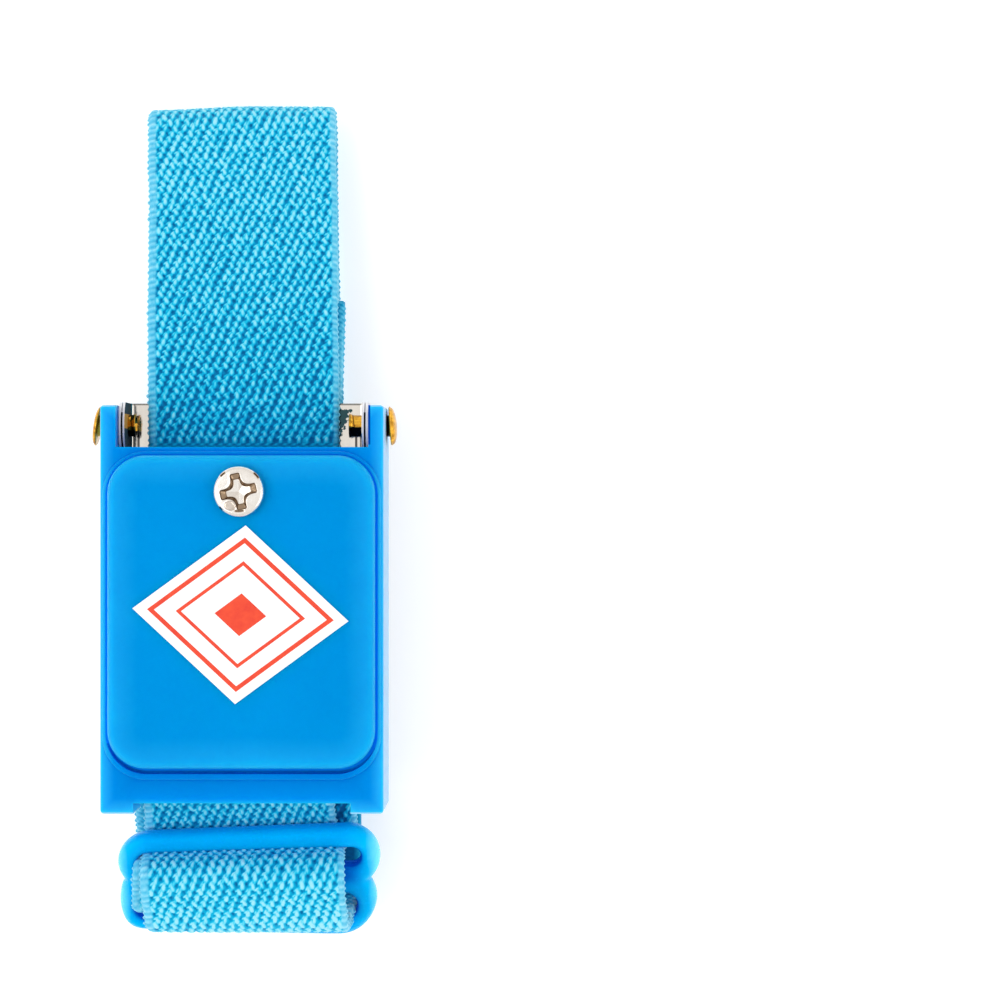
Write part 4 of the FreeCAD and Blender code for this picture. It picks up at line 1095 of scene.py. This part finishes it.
def paint_clasp_light_and_shade(made):
    """Paints shade, shadow, reflections, highlights and a brass patch on the clasp, matte on the
    flanges.
    """
    tree, shader, body = opened(made)
    across, along, up = axes(tree)
    sideways = maths(tree, "ABSOLUTE", across)
    uneven = maths(tree, "SUBTRACT", grain(tree, 2600.0), 0.5)

    inside = within(tree, across, *FLANGE_INSIDE)
    face = both(tree, inside, above(tree, up, FLANGE_FOOT))
    brass_patch = both(tree, inside, within(tree, along, *BRASS_PATCH_SPAN))
    slit = both(tree, within(tree, sideways, *FLANGE_SLIT), below(tree, along, SLIT_END))
    rim = both(tree, within(tree, sideways, *FLANGE_RIMS), above(tree, up, RIMS_FOOT),
               maths(tree, "SUBTRACT", 1.0, slit))

    floor = within(tree, up, *CLIP_FLOOR)
    off_line = maths(tree, "ABSOLUTE", maths(tree, "SUBTRACT", sideways, BRIGHT_LINE))
    shade = both(tree, floor, within(tree, sideways, *FLOOR_SHADE),
                 below(tree, along, FLOOR_SHADE_END), above(tree, off_line, BRIGHT_HALF))
    front = both(tree, floor, above(tree, along, FRONT_EDGE))
    wedge = maths(tree, "MULTIPLY_ADD", maths(tree, "SUBTRACT", WEDGE_CORNER, along),
                  WEDGE_SLOPE, across)
    wedge = maths(tree, "MULTIPLY_ADD", uneven, 1.6, wedge)
    patch = both(tree, floor, above(tree, across, 0.0), below(tree, wedge, WEDGE_SIDE),
                 below(tree, maths(tree, "ADD", along, uneven), WEDGE_END))

    # In turn: a painted dark reflection on the left flange's inside, a painted reflection of the
    # band, painted shade in the slit, a painted shadow under the rivets, painted shade at the front
    # edge, the brass patch and painted highlights on the rims.
    for mask, colour in ((face, (0.012, 0.04, 0.05)), (patch, (0.03, 0.075, 0.085)),
                         (slit, (0.01, 0.01, 0.015)),
                         (maths(tree, "MULTIPLY", shade, 0.9), (0.03, 0.03, 0.03)),
                         (maths(tree, "MULTIPLY", front, 0.7), (0.05, 0.05, 0.045)),
                         (brass_patch, (0.62, 0.30, 0.04)), (rim, (0.84, 0.84, 0.86))):
        body = mix(tree, mask, body, colour)
    tree.links.new(body, shader.inputs["Base Color"])
    dull = either(tree, face, either(tree, slit, rim))
    tree.links.new(maths(tree, "MULTIPLY_ADD", dull, -0.85, 1.0), shader.inputs["Metallic"])
    rough = shader.inputs["Roughness"].links[0].from_socket
    rough = maths(tree, "MAXIMUM", rough, maths(tree, "MULTIPLY", dull, 0.75))
    tree.links.new(rough, shader.inputs["Roughness"])


def paint_rivet_shade_and_reflection(made):
    """Blackens a rivet's neck, a painted shadow, and the back of its tube, a painted dark
    reflection, and darkens the groove at its open end.
    """
    tree, shader, body = opened(made)
    across, along, _ = axes(tree)
    sideways = maths(tree, "ABSOLUTE", across)
    uneven = swing(tree, grain(tree, 1500.0), 0.5)
    from_line = maths(tree, "ADD", maths(tree, "SUBTRACT", along, RIVET_Y), uneven)
    split = maths(tree, "MULTIPLY_ADD", above(tree, across, 0.0), TUBE_BACK_STEP, TUBE_BACK)
    neck = within(tree, sideways, *RIVET_NECK)
    back = both(tree, below(tree, sideways, TUBE_START), below(tree, from_line, split))
    slant = maths(tree, "MULTIPLY_ADD", from_line, GROOVE_SLANT, across)
    groove = either(tree, *(within(tree, slant, *span) for span in GROOVES))
    body = mix(tree, maths(tree, "MULTIPLY", groove, 0.85), body, (0.10, 0.035, 0.005))
    tree.links.new(mix(tree, either(tree, neck, back), body, (0.012, 0.009, 0.007)),
                   shader.inputs["Base Color"])


STEEL = metal("polished_steel", colour=(0.84, 0.79, 0.72), worn=(0.72, 0.67, 0.60),
              roughness=0.10, streaks=380.0, specks=2200.0, brushed=(1.0, 0.06, 1.0))
paint_clasp_light_and_shade(STEEL)
# On the screw head the marks are dirt and painted shade.
NICKEL = metal("nickel_plate", colour=(0.92, 0.88, 0.83), worn=(0.80, 0.74, 0.67),
               roughness=0.20, streaks=900.0, specks=4200.0,
               dirt_and_shade_colours=((0.36, 0.25, 0.16), (0.05, 0.03, 0.015)))
BRASS = metal("brass", colour=(0.95, 0.60, 0.17), worn=(0.60, 0.29, 0.05), roughness=0.20,
              streaks=1400.0, specks=4200.0)
RIVET_BRASS = metal("rivet_brass", colour=(0.96, 0.53, 0.06), worn=(0.33, 0.12, 0.01),
                    roughness=0.18, streaks=1800.0, specks=4200.0, brushed=(0.35, 1.0, 1.0))
paint_rivet_shade_and_reflection(RIVET_BRASS)
TIN = metal("tinned_metal", colour=(0.80, 0.80, 0.78), worn=(0.58, 0.57, 0.54),
            roughness=0.30, streaks=1100.0, specks=4200.0)
BRONZE = metal("spring_bronze", colour=(0.78, 0.42, 0.20), worn=(0.50, 0.24, 0.10),
               roughness=0.28, streaks=900.0, specks=4200.0, brushed=(0.1, 1.0, 1.0))


# ---------------------------------------------------------------- label and resistor

LABEL_Y = -9.7
LABEL_HALF = (10.98, 9.08)
LABEL_TURN = math.radians(-3.4)
LABEL_RINGS = [(0.80, 0.865), (0.55, 0.60), (-1.0, 0.24)]    # as shares of the way out

COAT_TAN = (0.50, 0.36, 0.20)
COAT_SCALE, COAT_MIDDLE = 150.0, 0.5     # place on the coat is x in metres by these
COAT_BANDS = [(0.20, 0.26, (0.16, 0.05, 0.02)), (0.41, 0.47, (0.01, 0.01, 0.01)),
              (0.61, 0.67, (0.02, 0.20, 0.04)), (0.83, 0.88, (0.5, 0.33, 0.05))]


def label_print():
    """White film with plain frames and a centre mark in red-orange."""
    made, tree, shader = material("label_film")
    move = put(tree, "ShaderNodeMapping", vector_type="TEXTURE")
    fixed(move, Location=(CASE_MIDDLE * MM, LABEL_Y * MM, 0), Rotation=(0, 0, LABEL_TURN))
    tree.links.new(on_object(tree), move.inputs["Vector"])
    ring = maths(tree, "ADD", *(maths(tree, "DIVIDE", maths(tree, "ABSOLUTE", part), half * MM)
                                for part, half in zip(parts_of(tree, move.outputs["Vector"]),
                                                      LABEL_HALF)))
    ink = either(tree, *(both(tree, above(tree, ring, low), below(tree, ring, high))
                         for low, high in LABEL_RINGS))
    paper = grain(tree, 900.0, 4.0, 0.6)
    white = ramp(tree, paper, [(0.3, (0.86, 0.87, 0.88)), (0.7, (0.93, 0.94, 0.94))])
    red = ramp(tree, paper, [(0.3, (0.72, 0.04, 0.015)), (0.7, (0.82, 0.07, 0.02))])
    tree.links.new(mix(tree, ink, white, red), shader.inputs["Base Color"])
    fixed(shader, Roughness=0.42, Specular_IOR_Level=0.35)
    bump(tree, paper, 0.08, 0.00003, shader)
    return made


def banded_resistor():
    """Tan lacquer with the four colour bands of a 1 megohm resistor."""
    made, tree, shader = material("resistor_coat")
    place = maths(tree, "MULTIPLY_ADD", parts_of(tree, on_object(tree))[0], COAT_SCALE,
                  COAT_MIDDLE)
    stops = [(0.0, COAT_TAN)]
    for low, high, colour in COAT_BANDS:
        stops += [(low - 0.01, COAT_TAN), (low, colour), (high, colour), (high + 0.01, COAT_TAN)]
    bands = ramp(tree, place, stops + [(1.0, COAT_TAN)])
    coat = grain(tree, 700.0, 4.0, 0.6)
    lacquer = ramp(tree, coat, [(0.3, COAT_TAN), (0.7, (0.6, 0.45, 0.28))])
    tree.links.new(mix(tree, 0.25, bands, lacquer), shader.inputs["Base Color"])
    fixed(shader, Roughness=0.35)
    bump(tree, coat, 0.1, 0.00004, shader)
    return made


FINISHES = {
    "case_shell": CASE_BLUE, "case_lid": LID_BLUE,
    "contact_plate": STEEL, "strap_clip": STEEL,
    "screw_nut": BRASS, "solder_lug": TIN, "series_resistor": banded_resistor(),
    "resistor_lead_lug_side": TIN, "resistor_lead_leaf_side": TIN, "contact_leaf": BRONZE,
    "label": label_print(),
}
for node_name, finish in FINISHES.items():
    mesh = nodes[node_name].data
    mesh.materials.clear()
    mesh.materials.append(finish)


# ---------------------------------------------------------------- the four lengths of band
# Shifts have (distance along the route, place across) stops. Shades are painted light and shade:
# below 0 darker, above 0 paler.

CLOTH = webbing()
SEWN_START = 3.3         # of its weave, beside that of the layer above

front_route, back_route = trace(FRONT_ROUTE, FRONT_BENDS), trace(BACK_ROUTE, BACK_BENDS)
passing_route, sewn_route = trace(PASSING_ROUTE, PASSING_BENDS), trace(SEWN_ROUTE, SEWN_BENDS)
front_length, back_length = length_of(front_route), length_of(back_route)

front_shift = eased([(0, 0.15), (22, -0.29), (36, -0.59), (44, -0.70), (50, -0.95),
                     (58, -1.15), (front_length, -1.1)])
back_shift = eased([(0, -1.1), (back_length, 0.0)])
passing_shift = eased([(0, 0.0), (20, 1.5), (33, 1.6), (36.5, 0.35), (40, -0.05), (43, -0.30),
                       (48, -0.42), (54, -0.9), (60, -1.15), (80, -0.3),
                       (length_of(passing_route), 0.0)])
sewn_shift = eased([(0, -2.3), (17, -2.25), (22.3, -2.0), (27, 1.3), (35, 1.75),
                    (length_of(sewn_route), 0.0)])


def clasp_shade(s, u):
    """Painted shade: the band is darker where it comes out of the clasp, and painted light makes it
    a little paler over the far fold.
    """
    return -0.50 * fade(s, 21.0, 38.0) - 0.2 * fade(s, 36.0, 52.0) + 0.15 * smooth(s, 53.0, 55.5)


def bulge_shade(s, u):
    """Painted light and shade: paler low on the bulge over the slider, most of all to the right, a
    painted shadow on the run below it, and a little darker from the slider on under the case.
    """
    rise = smooth(s, 29.0, 34.0)
    right = 0.6 * (rise * fade(s, 36.0, 43.0)) * smooth(u, -8.0, 8.0)
    pale = 0.35 * rise * fade(s, 36.0, 47.0)
    dark = -2.6 * smooth(s, 18.0, 24.0) * fade(s, 31.0, 35.0) * smooth(u, 6.0, 8.5)
    return right + pale + dark - 0.25 * smooth(s, 50.0, 54.0)


def under_shade(s, u):
    """Painted shadow: a dark streak on the lower run where the upper one ends."""
    streak = np.exp(-((u - 8.2) / 0.8) ** 2)
    return -2.0 * streak * smooth(s, 25.5, 27.0) * fade(s, 33.5, 36.0)


def bulge_wide(s):
    """The band is pressed a little wider where it bulges over the slider."""
    return 1.0 + 0.065 * float(smooth(s, 33.0, 37.0) * fade(s, 48.0, 54.0))


def webbing_piece(name, route, start, shift, fine, columns, loops, wide=None, shade=None):
    """One length of webbing and the loops along its edges."""
    pieces = (band_strip(name, route, start, shift, fine, columns, wide, shade),
              selvedge(name + "_selvedge", route, start, shift, loops, wide))
    for piece in pieces:
        piece.data.materials.append(CLOTH)
    return pieces


front = webbing_piece("strap_front", front_route, 0.0, front_shift, shade=clasp_shade,
                      fine=[(19.0, 58.0, 0.098)], columns=203, loops=[(0.4, front_length)])
back = webbing_piece("strap_back", back_route, front_length, back_shift,
                     fine=[], columns=132, loops=[(0.0, back_length)])
passing = webbing_piece("strap_passing", passing_route, front_length + back_length,
                        passing_shift, wide=bulge_wide, shade=bulge_shade,
                        fine=[(31.0, 61.5, 0.10), (61.5, 83.0, 0.17)], columns=181,
                        loops=[(0.0, 18.0), (34.5, 66.0)])
sewn = webbing_piece("strap_sewn", sewn_route, SEWN_START, sewn_shift, shade=under_shade,
                     fine=[(0.0, 36.5, 0.11)], columns=185, loops=[(0.4, 38.0)])

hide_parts("band_front_run", "band_fixed_end", "band_top_fold")
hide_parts("band_back_run_fold_side")
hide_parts("band_back_run_slider_side", "band_slider_bend",
            "band_loop_upper_run", "band_clip_turn")
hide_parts("band_sewn_loop", "band_loop_lower_run")
for piece in front + back:
    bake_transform(piece)
for piece in passing + sewn:
    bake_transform(piece)


# ---------------------------------------------------------------- screw, rivets and slider

def fitted(piece, finish, body, node):
    piece.data.materials.append(finish)
    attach(piece, body)
    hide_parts(node)


fitted(lid_screw_detail(), NICKEL, "case", "lid_screw")
for node_name, side, head_x, dome, tube_end, lean in (
        ("rivet_left", -1, 15.27, 0.55, 11.4, -0.14), ("rivet_right", 1, 15.0, 0.75, 10.75, -0.07)):
    rivet = rivet_detail(node_name + "_detail", side, head_x, dome, tube_end, lean)
    fitted(rivet, RIVET_BRASS, "clasp", node_name)
fitted(strap_slider_detail(), SLIDER_BLUE, "slider", "strap_slider")


# ---------------------------------------------------------------- floor, light and camera

LENS = 99.54
CAMERA_PLACE = (0.02662, 0.00194, 0.300)     # m, straight above the table

floor_bm = bmesh.new()
bmesh.ops.create_grid(floor_bm, x_segments=2, y_segments=2, size=3.0)
floor = in_scene("floor", mesh_from(floor_bm, "floor"))
floor_white, _, floor_shader = material("floor_white")
fixed(floor_shader, Base_Color=(0.80, 0.80, 0.81), Emission_Color=(1, 1, 1),
      Emission_Strength=0.39, Roughness=0.9, Specular_IOR_Level=0.0)
floor.data.materials.append(floor_white)

world = bpy.data.worlds.new("studio")
bpy.context.scene.world = world
world.use_nodes = True
sky = world.node_tree
sky_y = parts_of(sky, put(sky, "ShaderNodeTexCoord").outputs["Generated"])[1]
sky_tone = ramp(sky, maths(sky, "MULTIPLY_ADD", sky_y, 0.5, 0.5),
                [(0.0, (0.85, 0.85, 0.85)), (0.35, (0.95, 0.95, 0.95)),
                 (0.55, (0.97, 0.97, 0.97)), (1.0, (0.85, 0.85, 0.85))])
sky.links.new(sky_tone, sky.nodes["Background"].inputs["Color"])
fixed(sky.nodes["Background"], Strength=1.02)


def softbox(name, place, side, power):
    """A square lamp that shines at the strap's middle."""
    lamp = bpy.data.lights.new(name, "AREA")
    lamp.shape = "RECTANGLE"
    lamp.size = lamp.size_y = side
    lamp.energy = power
    holder = in_scene(name, lamp)
    holder.location = place
    holder.rotation_euler = (-Vector(place)).to_track_quat("-Z", "Y").to_euler()


softbox("key", (-0.5, -0.05, 0.75), 0.6, 2.4)
softbox("fill", (0.6, -0.2, 0.5), 0.5, 0.8)

camera = in_scene("camera", bpy.data.cameras.new("camera"))
camera.data.lens = LENS
camera.data.sensor_width = 36.0
camera.data.clip_start = 0.01
camera.data.clip_end = 10.0
camera.location = CAMERA_PLACE
bpy.context.scene.camera = camera

bpy.context.scene.view_settings.view_transform = "Standard"
bpy.context.scene.view_settings.look = "None"
